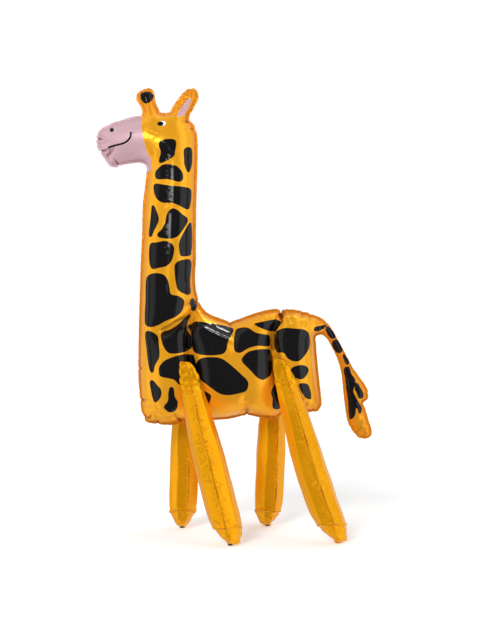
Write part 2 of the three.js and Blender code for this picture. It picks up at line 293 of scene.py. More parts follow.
@dataclass
class Artwork:
    """The print: a giraffe's patches, the pink muzzle and the face, as closed shapes.

    Each patch is a smooth closed curve through its corners, in millimetres of X and Z.
    """

    plane: PhotoPlane = field(default_factory=PhotoPlane)
    curve_step: float = 3.0
    mouth_width: float = 4.3
    patches: dict[str, list[tuple[int, int]]] = field(
        default_factory=lambda: {
            "cheek": [
                (-166, 880), (-150, 886), (-132, 884), (-129, 877), (-131, 861),
                (-134, 848), (-143, 841), (-166, 832), (-168, 837), (-164, 857), (-168, 870),
            ],
            "nape_top": [
                (-112, 863), (-107, 867), (-97, 867), (-94, 861), (-95, 825),
                (-102, 810), (-111, 828), (-112, 843),
            ],
            "half_moon": [
                (-176, 812), (-170, 820), (-157, 829), (-132, 827), (-121, 819),
                (-115, 810), (-114, 796), (-121, 790), (-132, 792), (-148, 796), (-174, 797),
            ],
            "neck_broad": [
                (-178, 785), (-152, 783), (-100, 776), (-96, 772), (-98, 736), (-102, 728),
                (-125, 738), (-139, 743), (-157, 743), (-170, 749), (-178, 763),
            ],
            "neck_sliver": [
                (-183, 738), (-180, 738), (-174, 727), (-168, 707), (-171, 696),
                (-179, 680), (-185, 667), (-190, 667), (-187, 709),
            ],
            "neck_hat": [
                (-136, 731), (-128, 728), (-116, 718), (-103, 706), (-116, 680), (-125, 669),
                (-139, 663), (-170, 667), (-172, 673), (-161, 685), (-154, 700), (-150, 718),
                (-143, 728),
            ],
            "neck_rear_upper": [
                (-97, 700), (-97, 626), (-103, 624), (-119, 624), (-122, 633), (-123, 653),
                (-112, 678),
            ],
            "neck_cushion": [
                (-186, 653), (-172, 655), (-154, 658), (-141, 653), (-134, 644), (-136, 624),
                (-141, 611), (-152, 601), (-166, 598), (-183, 595), (-188, 602), (-190, 642),
            ],
            "neck_rear_lower": [
                (-97, 615), (-98, 570), (-97, 541), (-101, 537), (-125, 548), (-130, 564),
                (-133, 593), (-132, 606), (-121, 614),
            ],
            "neck_great": [
                (-195, 577), (-186, 584), (-172, 586), (-157, 582), (-148, 570), (-144, 553),
                (-141, 539), (-125, 535), (-112, 526), (-111, 517), (-116, 501), (-130, 488),
                (-152, 479), (-170, 469), (-188, 465), (-198, 470), (-200, 485), (-198, 526),
            ],
            "withers_bean": [
                (-97, 528), (-91, 530), (-85, 521), (-82, 512), (-88, 500), (-95, 508),
            ],
            "shoulder": [
                (-163, 452), (-143, 463), (-121, 475), (-94, 492), (-104, 468), (-98, 436),
                (-98, 416), (-112, 409), (-143, 406), (-152, 412), (-159, 425),
            ],
            "chest_tall": [
                (-197, 456), (-172, 447), (-168, 425), (-167, 398), (-177, 378), (-179, 367),
                (-183, 362), (-188, 367), (-196, 418),
            ],
            "hip_front": [
                (-168, 367), (-168, 374), (-159, 387), (-143, 396), (-107, 405), (-94, 403),
                (-87, 391), (-85, 365), (-121, 336), (-134, 347), (-166, 356),
            ],
            "chest_low": [
                (-188, 344), (-183, 347), (-172, 336), (-163, 324), (-163, 311), (-170, 300),
                (-177, 296), (-181, 302), (-186, 324),
            ],
            "chest_drop": [
                (-143, 331), (-136, 330), (-132, 309), (-126, 298), (-128, 282), (-134, 275),
                (-145, 275), (-157, 286), (-148, 300), (-147, 318),
            ],
            "flank_upper": [
                (-101, 470), (-94, 476), (-85, 478), (-18, 468), (-2, 463), (-2, 456),
                (-13, 432), (-17, 414), (-25, 405), (-89, 409), (-98, 447),
            ],
            "flank_lower": [
                (-83, 387), (-74, 395), (-54, 398), (-31, 396), (-18, 389), (20, 356),
                (31, 344), (32, 333), (27, 322), (13, 317), (-9, 313), (-29, 315), (-63, 338),
                (-76, 349), (-83, 367),
            ],
            "behind_leg": [(-69, 322), (-58, 318), (-51, 311), (-58, 293)],
            "loin": [
                (4, 459), (16, 464), (31, 464), (49, 453), (81, 446), (84, 441), (83, 425),
                (76, 422), (54, 423), (36, 419), (11, 407), (2, 412), (0, 425),
            ],
            "back_arrow": [
                (45, 472), (58, 476), (96, 483), (103, 481), (103, 474), (87, 456), (58, 464),
            ],
            "rump": [
                (89, 450), (96, 457), (110, 463), (136, 462), (159, 459), (167, 452),
                (169, 421), (154, 396), (145, 389), (132, 389), (119, 396), (112, 407),
                (94, 409),
            ],
            "loin_heart": [
                (17, 393), (31, 409), (47, 414), (69, 416), (83, 414), (89, 400), (87, 378),
                (83, 360), (74, 351), (63, 347), (51, 353), (36, 369), (20, 385),
            ],
            "thigh": [
                (96, 338), (103, 336), (107, 313), (108, 291), (103, 282), (89, 282),
                (86, 289), (86, 306), (83, 318), (86, 329),
            ],
            "haunch": [
                (128, 372), (141, 379), (159, 379), (167, 371), (164, 360), (154, 349),
                (140, 350), (128, 360),
            ],
            "haunch_low": [
                (146, 338), (164, 338), (169, 330), (172, 304), (162, 306), (150, 322),
            ],
            "fold_sliver": [(94, 389), (101, 394), (98, 378), (98, 342), (92, 369)],
            "tail_root": [(178, 459), (181, 465), (192, 468), (206, 470), (200, 461), (184, 455)],
            "tail_upper": [(206, 466), (213, 465), (228, 442), (218, 439), (205, 459)],
            "tail_middle": [
                (221, 434), (229, 438), (243, 414), (240, 408), (229, 408), (219, 427),
            ],
            "tail_lower": [(245, 406), (258, 386), (253, 380), (243, 399)],
            "tuft": [
                (246, 373), (257, 377), (263, 361), (273, 343), (267, 322), (273, 308),
                (280, 295), (286, 284), (286, 276), (281, 270), (274, 285), (270, 266),
                (260, 258), (254, 308), (249, 347),
            ],
            "tuft_barb": [
                (276, 341), (283, 330), (289, 319), (290, 310), (285, 304), (279, 306),
                (275, 316), (270, 327),
            ],
            "horn_tip": [
                (-209, 988), (-197, 992), (-187, 991), (-180, 983), (-183, 973), (-196, 965),
                (-204, 968), (-209, 976),
            ],
        }
    )
    ear_stripe: list[tuple[int, int]] = field(
        default_factory=lambda: [
            (-127, 937), (-123, 951), (-112, 966), (-101, 978), (-96, 976), (-98, 964),
            (-105, 951), (-114, 938),
        ]
    )
    muzzle_edge: list[tuple[int, int]] = field(
        default_factory=lambda: [
            (-207, 945), (-206, 906), (-202, 884), (-196, 861), (-188, 839), (-184, 815),
        ]
    )
    muzzle_beyond: list[tuple[int, int]] = field(
        default_factory=lambda: [(-240, 800), (-340, 800), (-340, 960), (-240, 960)]
    )
    mouth: list[tuple[int, int]] = field(
        default_factory=lambda: [
            (-281, 867), (-268, 871), (-246, 877), (-236, 884), (-231, 893), (-231, 900),
        ]
    )
    # centre X, centre Z, half length, half height
    pupil: tuple[float, float, float, float] = (-164.5, 920.0, 7.0, 5.0)
    eye_white: tuple[float, float, float, float] = (-160.2, 920.8, 7.9, 5.4)
    nostril: tuple[float, float, float, float] = (-273.5, 906.5, 4.6, 5.2)

    def ellipse(self, at: np.ndarray, shape: tuple[float, float, float, float]) -> np.ndarray:
        """Measure roughly how far points are from an ellipse.

        Args:
            at: Rows of X, Z.
            shape: The ellipse's centre X, centre Z, half length and half height.

        Returns:
            The distances, less than zero inside.
        """
        x, z, half_length, half_height = shape
        reach = np.hypot((at[:, 0] - x) / half_length, (at[:, 1] - z) / half_height)
        return (reach - 1) * min(half_length, half_height)

    def distances(self, points: np.ndarray) -> dict[Ink, np.ndarray]:
        """Measure how far each point of the film is from each printed colour.

        Args:
            points: Places on the film as rows of X, Y, Z.

        Returns:
            For each ink, a distance in millimetres that is less than zero where it is printed.
            The drawn line's distance has a sign for the side of the line, so that it stays
            exact between two points of the mesh.
        """
        at = self.plane.covered(points)
        black = np.full(len(at), FAR_AWAY)
        for corners in self.patches.values():
            loop = spline(np.array(corners, float), self.curve_step, closed=True)
            margin = 12.0
            low, high = loop.min(0) - margin, loop.max(0) + margin
            near = ((at > low) & (at < high)).all(1)
            black[near] = np.minimum(black[near], signed_distance(at[near], loop))
        mouth = spline(np.array(self.mouth, float), self.curve_step, closed=False)
        away, along, hand = to_line(at, mouth)
        between = (along > 0) & (along < along.max())
        line = np.where(between, away * hand, away)
        for shape in (self.pupil, self.nostril):
            black = np.minimum(black, self.ellipse(at, shape))
        edge = spline(np.array(self.muzzle_edge, float), self.curve_step, closed=False)
        muzzle = np.vstack([edge, np.array(self.muzzle_beyond, float)])
        stripe = spline(np.array(self.ear_stripe, float), self.curve_step, closed=True)
        pink = np.minimum(signed_distance(at, muzzle), signed_distance(at, stripe))
        white = self.ellipse(at, self.eye_white)
        return {Ink.BLACK: black, Ink.PINK: pink, Ink.WHITE: white, Ink.LINE: line}


@dataclass(frozen=True)
class Fold:
    """A line along which the film is drawn in.

    Attributes:
        line: Its points, in millimetres of X and Z.
        depth: The share of the filled depth that it takes.
        reach: How far to each side it draws the film in.
    """

    line: tuple[tuple[int, int], ...]
    depth: float
    reach: float = 26.0

    def share(self, at: np.ndarray) -> np.ndarray:
        """Tell what share of the depth is left at each place of X, Z."""
        step = 4.0
        curve = spline(np.array(self.line, float), step, closed=False)
        away = to_line(at, curve)[0]
        return 1 - self.depth * np.exp(-away / self.reach)


class Profile(Enum):
    """How a crease falls off to its sides."""

    FOLD = "steepest at its line"
    ROOF = "straight"
    ROUND = "flat at its line"


@dataclass(frozen=True)
class Crease:
    """A sharp line where the film is folded in, or stands out if its depth is less than zero.

    Attributes:
        line: Its points, in millimetres of X and Z.
        depth: How far in it goes, in millimetres.
        left: How far it reaches to the left of its line, in millimetres.
        right: How far it reaches to the right.
        start: The length over which it comes up at its start.
        end: The length over which it dies away at its end.
        profile: How it falls off to its sides.
        taut: How far in a wide bulge is pulled so that the line is straight, in millimetres.
    """

    line: tuple[tuple[float, float], ...]
    depth: float
    left: float = 12.0
    right: float = 12.0
    start: float = 10.0
    end: float = 10.0
    profile: Profile = Profile.FOLD
    taut: float = 0.0

    def inward(self, at: np.ndarray) -> np.ndarray:
        """Tell how far in the film goes at each place of X, Z."""
        step = 3.0
        curve = spline(np.array(self.line, float), step, closed=False)
        total = np.linalg.norm(np.diff(curve, axis=0), axis=1).sum()
        away, along, hand = to_line(at, curve)
        width = np.where(hand > 0, self.left, self.right)
        share = np.clip(away / width, 0, 1)
        slope = {
            Profile.FOLD: (1 - share) ** 1.5,
            Profile.ROOF: 1 - share,
            Profile.ROUND: 1 - share**2,
        }[self.profile]
        ends = smoothstep(along / self.start) * smoothstep((total - along) / self.end)
        chord = 1 - (2 * along / total - 1) ** 2
        pull_reach = 16.0
        pull = np.exp(-((away / pull_reach) ** 2))
        return self.depth * slope * ends + self.taut * chord * pull


@dataclass(frozen=True)
class Notch:
    """A pucker that starts at the sealed edge.

    Attributes:
        x: Where it is, in millimetres.
        z: Where it is, in millimetres.
        depth: How far the edge is drawn in.
        width: Half its width at the edge.
        reach: How far up the film it runs.
        lean: How far it moves along the edge for each millimetre up the film.
    """

    x: float
    z: float
    depth: float
    width: float = 4.0
    reach: float = 28.0
    lean: float = 0.0


@dataclass(frozen=True)
class Pucker:
    """A pucker in its place along the seam.

    Attributes:
        place: How far along the seam it is, in millimetres.
        depth: How far the edge is drawn in.
        width: Half its width at the edge.
        reach: How far up the near and the far sheet it runs.
        lean: How far it moves along the seam for each millimetre up those two sheets.
    """

    place: float
    depth: float
    width: float
    reach: np.ndarray
    lean: np.ndarray


@dataclass(frozen=True)
class SeamPuckers:
    """The small puckers along the sealed edge, closer and deeper where it turns outwards.

    Attributes:
        nearest: The least distance between two, in millimetres.
        farthest: The greatest.
        depth: How far each draws the edge in.
        depth_at_turns: How much more it does so where the edge turns tightly.
        tight_radius: The radius at which a turn counts as tight.
        width: Half a pucker's width at the edge.
        widening: How much wider it gets for each millimetre up the film.
        shortest: How far up the film the shortest runs.
        longest: How far the longest runs.
        uneven_depth: The shares between which their depths vary.
        uneven_width: The same for their widths.
        most_lean: How far one moves along the edge for each millimetre up the film, at most.
        seed: Which pattern they have.
    """

    nearest: float = 9.0
    farthest: float = 24.0
    depth: float = 0.7
    depth_at_turns: float = 1.1
    tight_radius: float = 50.0
    width: float = 3.4
    widening: float = 0.2
    shortest: float = 9.0
    longest: float = 34.0
    uneven_depth: tuple[float, float] = (0.35, 1.3)
    uneven_width: tuple[float, float] = (0.8, 1.4)
    most_lean: float = 0.35
    seed: int = 11

    def sites(self, seam: np.ndarray, turn: np.ndarray, notches: tuple[Notch, ...]
              ) -> list[Pucker]:
        """Place the puckers along the seam.

        Args:
            seam: The seam's points, evenly spaced.
            turn: How fast it turns at each point, more than zero where it is convex.
            notches: The puckers that have a place of their own.

        Returns:
            The scattered puckers, then those of the notches.
        """
        rng = np.random.default_rng(self.seed)
        run = np.concatenate([[0], np.cumsum(steps(seam))])
        found = []
        place = 0.0
        while place < run[-1]:
            here = int(np.searchsorted(run, place)) % len(seam)
            tight = float(np.clip(turn[here] * self.tight_radius, 0, 1))
            longer, closer = 1 + 0.6 * tight, 1.25 - 0.5 * tight
            depth = (self.depth + self.depth_at_turns * tight) * rng.uniform(*self.uneven_depth)
            reach = rng.uniform(self.shortest, self.longest, 2) * longer
            lean = rng.uniform(-self.most_lean, self.most_lean, 2)
            width = self.width * rng.uniform(*self.uneven_width)
            found.append(Pucker(place, depth, width, reach, lean))
            place += rng.uniform(self.nearest, self.farthest) * closer
        for notch in notches:
            at = np.array([[notch.x, notch.z]])
            along = to_line(at, np.vstack([seam, seam[:1]]))[1][0]
            reach = np.array([notch.reach, notch.reach * 0.8])
            lean = np.array([notch.lean, notch.lean * 0.6])
            found.append(Pucker(along, notch.depth, notch.width, reach, lean))
        return found

    def inward(self, sites: list[Pucker], along: np.ndarray, up: np.ndarray, total: float,
               side: Side) -> np.ndarray:
        """Tell how far in the puckers draw the film.

        Args:
            sites: What sites() returned.
            along: Each point's place along the seam.
            up: How far each point is from the seam, over the film.
            total: The seam's length.
            side: The sheet.

        Returns:
            The depth at each point.
        """
        sheet = 0 if side is Side.NEAR else 1
        widest, faded = 40.0, 2.4
        out = np.zeros(len(along))
        for pucker in sites:
            reach, lean = pucker.reach[sheet], pucker.lean[sheet]
            off = (along - pucker.place + total / 2) % total - total / 2
            near = (np.abs(off) < widest) & (up < faded * reach)
            over = up[near]
            across = np.abs(off[near] - lean * over) / (pucker.width + self.widening * over)
            valley = np.clip(1 - across, 0, 1) ** 1.3
            out[near] += pucker.depth * valley * np.exp(-((over / reach) ** 2))
        return out


@dataclass(frozen=True)
class Crumple:
    """Flat little faces with sharp ridges between them, as film gets where it is gathered.

    Attributes:
        depth: How far the faces go in and out, in millimetres.
        pitch: The size of a face, in millimetres.
        seed: Which pattern it is.
    """

    depth: float
    pitch: float
    seed: int

    def inward(self, places: np.ndarray) -> np.ndarray:
        """Tell how far in the film goes, as the mean of folds that run in a few directions.

        Args:
            places: Rows of X, Y, Z.

        Returns:
            The depth at each place, less than zero where the film stands out.
        """
        rng = np.random.default_rng(self.seed)
        ways = 5
        out = np.zeros(len(places))
        for _ in range(ways):
            way = rng.normal(size=3)
            way /= np.linalg.norm(way)
            phase = places @ way / (self.pitch * rng.uniform(1.4, 2.6)) + rng.uniform()
            out += np.abs(phase % 1 - 0.5) * 4 - 1
        return self.depth * out / ways


def sheet_normals(points: np.ndarray, triangles: np.ndarray) -> np.ndarray:
    """Work out the normals of a sheet's points from its own triangles only.

    Args:
        points: Rows of X, Y, Z.
        triangles: Rows of three point numbers.

    Returns:
        A unit normal for each point, on the side from which its triangles run the other
        way to a clock's hands.
    """
    a, b, c = (points[triangles[:, k]] for k in range(3))
    facing = np.cross(b - a, c - a)
    out = np.zeros_like(points)
    for k in range(3):
        np.add.at(out, triangles[:, k], facing)
    return out / np.maximum(np.linalg.norm(out, axis=1, keepdims=True), 1e-12)


def poisson_lift(points: np.ndarray, triangles: np.ndarray, fixed: int) -> np.ndarray:
    """Solve the lift of a film that is held at its seam and pushed by air.

    Args:
        points: Rows of X, Z, the held ones first.
        triangles: Rows of three point numbers.
        fixed: How many points are held at zero.

    Returns:
        The depth at each point: a half circle across a long tube, flatter on a wide face.
    """
    count = len(points)
    area = np.zeros(count)
    rows, columns, weights = [], [], []
    for k in range(3):
        a, b, c = (triangles[:, (k + n) % 3] for n in range(3))
        to_a, to_b = points[a] - points[c], points[b] - points[c]
        twice_area = np.abs(to_a[:, 0] * to_b[:, 1] - to_a[:, 1] * to_b[:, 0]) + TINY
        weight = (to_a * to_b).sum(1) / twice_area / 2
        rows += [a, b]
        columns += [b, a]
        weights += [weight, weight]
        area += np.bincount(c, twice_area / 6, count)
    row, column, weight = (np.concatenate(part) for part in (rows, columns, weights))
    diagonal = np.bincount(row, weight, count)
    free = np.arange(count) >= fixed

    def pull(values: np.ndarray) -> np.ndarray:
        """Apply the film's stiffness to a set of lifts."""
        held = np.where(free, values, 0.0)
        out = diagonal * held - np.bincount(row, weight * held[column], count)
        return np.where(free, out, 0.0)

    lift = np.zeros(count)
    rest = np.where(free, area, 0.0)
    scale = np.where(free, 1 / np.maximum(diagonal, TINY), 0.0)
    step = scale * rest
    energy = rest @ step
    most_rounds, settled = 1500, 1e-12
    for _ in range(most_rounds):
        pulled = pull(step)
        share = energy / (step @ pulled)
        lift += share * step
        rest -= share * pulled
        scaled = scale * rest
        fresh = rest @ scaled
        if fresh < settled:
            break
        step = scaled + fresh / energy * step
        energy = fresh
    return np.sqrt(2 * np.maximum(lift, 0))


def make_object(name: str, points: np.ndarray, faces: list, body: str = "root"
                ) -> bpy.types.Object:
    """Make a smooth mesh object in metres and let it ride on a body.

    Args:
        name: The object's name.
        points: Rows of X, Y, Z in millimetres.
        faces: Rows of point numbers, turned outwards.
        body: The body that carries it.

    Returns:
        The new object, at the origin.
    """
    mesh = bpy.data.meshes.new(name)
    mesh.from_pydata((points * MM).tolist(), [], [list(map(int, f)) for f in faces])
    mesh.validate()
    mesh.shade_smooth()
    piece = bpy.data.objects.new(name, mesh)
    bpy.context.scene.collection.objects.link(piece)
    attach(piece, body)
    return piece


def keep(piece: bpy.types.Object, name: str, values: np.ndarray) -> None:
    """Store one number for each point of a mesh, for its finish to read.

    Args:
        piece: The object that has the mesh.
        name: The name that the material reads it by.
        values: The numbers, in the order of the points.
    """
    layer = piece.data.attributes.new(name, "FLOAT", "POINT")
    layer.data.foreach_set("value", np.asarray(values, np.float32))


@dataclass
class Envelope:
    """The printed body: two sheets sealed along one outline and filled with air.

    Attributes:
        seam_width: The width of the sealed edge, in millimetres.
        seam_thickness: How thick the sealed edge is.
        fullness: How far the air fills it out, as a share of the pressure solution.
        step: How far apart the points of a sheet are.
        edge_wave: How far the sealed edge waves to its sides.
        wave_lengths: The lengths of those waves.
        wave_seed: Which pattern the waves have.
        narrow_fold: A crease that reaches less far than this is shaded as a narrow fold.
        broad: The slight unevenness of all the film.
        fine: The crumpling where the film is gathered.
    """

    seam_width: float = 5.5
    seam_thickness: float = 0.5
    fullness: float = 0.8
    step: float = 2.9
    # how far inside the seam the structured rows lie, closest where the film turns fastest
    rows: tuple[float, ...] = (0.12, 0.5, 1.1, 1.9, 3.0, 4.4, 6.2)
    flange_rows: int = 3
    # the drawn face is meshed finer, between these corners of X, Z
    face_box: tuple[tuple[float, float], tuple[float, float]] = ((-312.0, 815.0), (-140.0, 950.0))
    face_step: float = 1.8
    art: Artwork = field(default_factory=Artwork)
    folds: tuple[Fold, ...] = (
        Fold(
            ((-78, 514), (-92, 488), (-101, 455), (-96, 414), (-90, 365), (-92, 310), (-104, 262)),
            0.55,
        ),
        Fold(((106, 502), (91, 470), (86, 440), (91, 400), (97, 336), (109, 282)), 0.55),
        Fold(((-92, 488), (-125, 474), (-160, 455)), 0.35),
        Fold(((-9, 470), (0, 445), (3, 420)), 0.2),
    )
    edge_wave: float = 0.9
    wave_lengths: tuple[float, ...] = (17.0, 26.0, 41.0)
    wave_seed: int = 5
    narrow_fold: float = 5.5
    broad: Crumple = Crumple(0.6, 55.0, 3)
    fine: Crumple = Crumple(2.7, 11.0, 4)
    # where the film is gathered: centre X, centre Z, reach and strength
    gathers: tuple[tuple[float, float, float, float], ...] = (
        (172, 485, 26, 1.7), (118, 500, 26, 1.6), (-86, 512, 24, 1.3), (-185, 258, 40, 1.8),
        (-205, 300, 20, 1.1), (29, 275, 24, 1.5), (-108, 928, 18, 1.0), (-192, 948, 16, 0.6),
        (-190, 826, 20, 0.7), (-288, 848, 24, 1.1), (-94, 908, 16, 0.9), (205, 470, 24, 1.1),
        (-176, 893, 24, 0.45), (-140, 935, 22, 0.5), (-104, 968, 22, 0.8),
        (262, 345, 30, 0.7), (284, 258, 34, 1.6), (158, 300, 22, 0.9), (-98, 560, 16, 0.5),
        (60, 490, 22, 0.8), (-40, 482, 18, 0.9), (-130, 258, 24, 1.2), (70, 272, 20, 0.8),
    )
    # where small crinkles catch the light: ends X, Z of a line, reach and strength
    crinkles: tuple[tuple[float, float, float, float, float, float], ...] = (
        (-146, 828, -147, 785, 7, 1.0), (-146, 740, -147, 722, 6, 0.9),
        (-152, 690, -153, 670, 5, 0.7), (-150, 640, -151, 628, 5, 0.6),
        (-150, 870, -135, 850, 6, 0.9), (-76, 468, -36, 450, 5, 0.25),
        (-36, 450, 8, 431, 7, 0.45), (-112, 470, -106, 458, 5, 0.9),
        (-144, 832, -144, 735, 9, 0.35),
        (-190, 905, -160, 888, 6, 0.5), (-98, 572, -100, 560, 5, 0.7),
    )
    puckers: SeamPuckers = field(default_factory=SeamPuckers)
    notches: tuple[Notch, ...] = (
        Notch(-302, 886, 4, 2.6, 26, 0.2),
        Notch(-298, 857, 5, 2.6, 30, 0.3),
        Notch(-293, 841, 4.5, 2.6, 28),
        Notch(-260, 831, 4, 2.6, 32, -0.2),
        Notch(-213, 373, 2.5, 4, 30),
        Notch(-213, 302, 3.5, 4, 34),
        Notch(-9, 478, 3, 4, 40),
        Notch(105, 508, 6, 4, 50),
        Notch(113, 502, 3, 3, 24),
        Notch(154, 499, 2.5, 4, 30),
        Notch(29, 273, 4, 4, 50),
        Notch(-206, 262, 4, 4, 40, 0.5),
        Notch(-170, 250, 3, 4, 24),
        Notch(-125, 262, 4, 5, 40),
        Notch(-98, 926, 4, 4, 26),
        Notch(-90, 908, 3.5, 3, 22),
        Notch(-88, 520, 4, 5, 40),
        Notch(172, 498, 2, 3, 30),
    )
    creases: tuple[Crease, ...] = (
        # the neck folds over the shoulder
        Crease(((-90, 512), (-97, 492), (-125, 474), (-165, 452)), 6.0, 20, 8, 8, 16),
        # the body is nipped in over the front and the rear leg
        Crease(((-94, 492), (-99, 455), (-97, 414), (-92, 370), (-92, 320)), 4.0, 12, 12, 12, 30),
        Crease(
            ((104, 508), (100, 482), (87, 459), (86, 425), (92, 380), (97, 336), (109, 275)),
            4.5, 14, 12, 14, 30,
        ),
        # the narrow folds in their middle
        Crease(((-88, 508), (-95, 490), (-100, 462), (-98, 430)), 2.8, 4.5, 4.5, 8, 14),
        Crease(((106, 508), (102, 484), (90, 462), (87, 438), (89, 410)), 3.8, 4.5, 4.5, 6, 10),
        Crease(((96, 352), (97, 330), (104, 300), (109, 276)), 2.2, 4.5, 4.5, 8, 6),
        Crease(((112, 498), (126, 484), (132, 470)), 1.8, 5, 5, 6, 8),
        # where the tail leaves the rump
        Crease(((170, 499), (171, 480), (168, 450)), 2.5, 8, 8, 10, 14),
        # the jaw, the root of the horn and the root of the ear
        Crease(((-192, 821), (-181, 839), (-170, 857)), 4.0, 14, 5, 12, 14),
        Crease(((-196, 905), (-178, 895), (-158, 888)), -2.4, 8, 8, 10, 10),
        Crease(((-190, 880), (-176, 868), (-166, 850)), -1.6, 8, 8, 8, 10),
        Crease(((-196, 940), (-180, 936), (-160, 944)), 1.6, 7, 7, 10, 10),
        Crease(((-127, 938), (-112, 930), (-96, 930)), 2.5, 7, 8, 8, 8),
        Crease(((-188, 932), (-190, 950), (-192, 966)), -1.4, 5, 5, 8, 8),
        # the ear is rolled in along its middle and its rear edge
        Crease(((-104, 930), (-92, 950), (-86, 978)), 3.6, 9, 7, 8, 10),
        Crease(((-122, 940), (-112, 960), (-98, 980)), 6.0, 11, 12, 8, 12),
        # the raised lines on the flank
        Crease(
            ((-76, 468), (-48, 455), (-22, 443), (6, 431)),
            -2.4, 6.5, 6.5, 8, 12, Profile.ROOF, 3.4,
        ),
        Crease(((-118, 472), (-106, 456)), -1.2, 6, 6, 6, 6),
        # the flat crest of the neck, and the fold that runs beside its front seam
        Crease(((-141, 834), (-141, 732)), 0.6, 9, 9, 6, 10, Profile.ROUND),
        Crease(((-186, 800), (-192, 740), (-197, 620), (-200, 525), (-203, 440)), 1.3, 5, 7, 20, 30),
        # light folds across the flank and up from the belly
        Crease(((29, 273), (22, 300), (30, 330)), 2.0, 12, 20, 8, 24),
        Crease(((-76, 338), (-58, 328), (-40, 330)), 1.6, 6, 6, 8, 10),
        Crease(((-205, 262), (-190, 285), (-184, 320)), 1.8, 9, 9, 8, 20),
    )

    def cad_outline(self) -> np.ndarray:
        """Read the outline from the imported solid.

        Returns:
            The outline's points in order, counter-clockwise in X, Z.
        """
        merge, slack = 0.01 * MM, 0.05
        solid = bmesh.new()
        solid.from_mesh(frame["nodes"]["body"].data)
        bmesh.ops.remove_doubles(solid, verts=solid.verts, dist=merge)
        rim = set()
        # the rim's short edges run straight across from one face to the other
        for edge in solid.edges:
            a, b = (v.co / MM for v in edge.verts)
            flat = math.hypot(a.x - b.x, a.z - b.z) < slack
            if flat and abs(a.y + b.y) < slack:
                rim.update(v for v in edge.verts if v.co.y < 0)
        start = min(rim, key=lambda v: v.co.z)
        loop, last = [start], None
        while True:
            here = loop[-1]
            ways = [e.other_vert(here) for e in here.link_edges if e.other_vert(here) in rim]
            onward = [v for v in ways if v is not last]
            if len(loop) > 2 and start in onward:
                break
            if len(loop) == 1:
                onward.sort(key=lambda v: -v.co.x)
            last = here
            loop.append(onward[0])
        points = np.array([(v.co.x, v.co.z) for v in loop]) / MM
        solid.free()
        return points

    def plan(self) -> tuple[np.ndarray, np.ndarray, np.ndarray, int]:
        """Lay out the fine mesh of one sheet as seen from the side.

        Returns:
            The outline, the sheet's points with the seam first, its triangles, and how many
            points the seam has.
        """
        outline = spline(self.cad_outline(), self.step, closed=True)
        seam = moved_inwards(outline, self.seam_width)
        count = len(seam)
        # the inner rows close up where the seam's radius leaves them little room
        radius = 4 * self.step / np.maximum(turns(seam, 2), 1e-3)
        room = np.clip(0.7 * radius / self.rows[-1], 0.15, 1.0)
        smoothings = 12
        for _ in range(smoothings):
            room = np.minimum(room, (np.roll(room, 1) + room + np.roll(room, -1)) / 3)
        rows = [seam] + [moved_inwards(seam, d * room) for d in self.rows]
        inner = rows[-1]
        field_points = staggered_grid(inner.min(0), inner.max(0), self.step)
        (left, bottom), (right, top) = self.face_box
        face = staggered_grid((left, bottom), (right, top), self.face_step)
        margin = self.step * 0.6
        away = (field_points < np.array([left, bottom]) - margin) | (
            field_points > np.array([right, top]) + margin
        )
        field_points = np.vstack([field_points[away.any(1)], face])
        field_points = field_points[inside(field_points, inner)]
        gap = to_line(field_points, np.vstack([inner, inner[:1]]))[0]
        field_points = field_points[gap > 0.7 * self.step]
        cloud = [Vector(p) for p in np.vstack([inner, field_points])]
        loop = list(range(count))
        made = delaunay_2d_cdt(cloud, [], [loop], 1, 1e-6)
        at, faces, origins = made[0], made[2], made[3]
        number = np.zeros(len(at), int)
        band = count * (len(rows) - 1)
        fresh = 0
        extra = []
        for i, found in enumerate(origins):
            known = [f for f in found if f < count]
            if known:
                number[i] = band + known[0]
            else:
                number[i] = band + count + fresh
                fresh += 1
                extra.append(at[i])
        triangles = [number[list(f)] for f in faces if len(f) == 3]
        for r in range(len(rows) - 1):
            a = r * count + np.arange(count)
            b = r * count + (np.arange(count) + 1) % count
            triangles += list(np.stack([a, b, b + count], 1))
            triangles += list(np.stack([a, b + count, a + count], 1))
        points = np.vstack([*rows, np.array(extra)])
        return outline, points, np.array(triangles), count

    def build(self) -> bpy.types.Object:
        """Inflate the sheets, wrinkle them, join them at the seam and print them.

        Returns:
            The body's object.
        """
        outline, points, triangles, count = self.plan()
        depth = poisson_lift(points, triangles, count)
        for fold in self.folds:
            depth = depth * fold.share(points)
        depth = self.seam_thickness / 2 + self.fullness * depth
        seam = points[:count]
        gap, along, _ = to_line(points, np.vstack([seam, seam[:1]]))
        up = np.hypot(gap, depth)
        step = steps(seam)
        spread = 5
        turn = turns(seam, spread) / (2 * spread * step.mean())
        sites = self.puckers.sites(seam, turn, self.notches)
        sheets, drawn, folded = {}, {}, []
        for side in Side:
            flat = np.stack([points[:, 0], side.value * depth, points[:, 1]], 1)
            normals = sheet_normals(flat, triangles) * -side.value
            puckered = self.puckers.inward(sites, along, up, step.sum(), side)
            inward, narrow = self.wrinkles(flat, up, puckered)
            folded += [np.tile(narrow[:count], self.flange_rows), narrow]
            drawn[side] = inward[:count].copy()
            sheets[side] = flat - normals * inward[:, None]
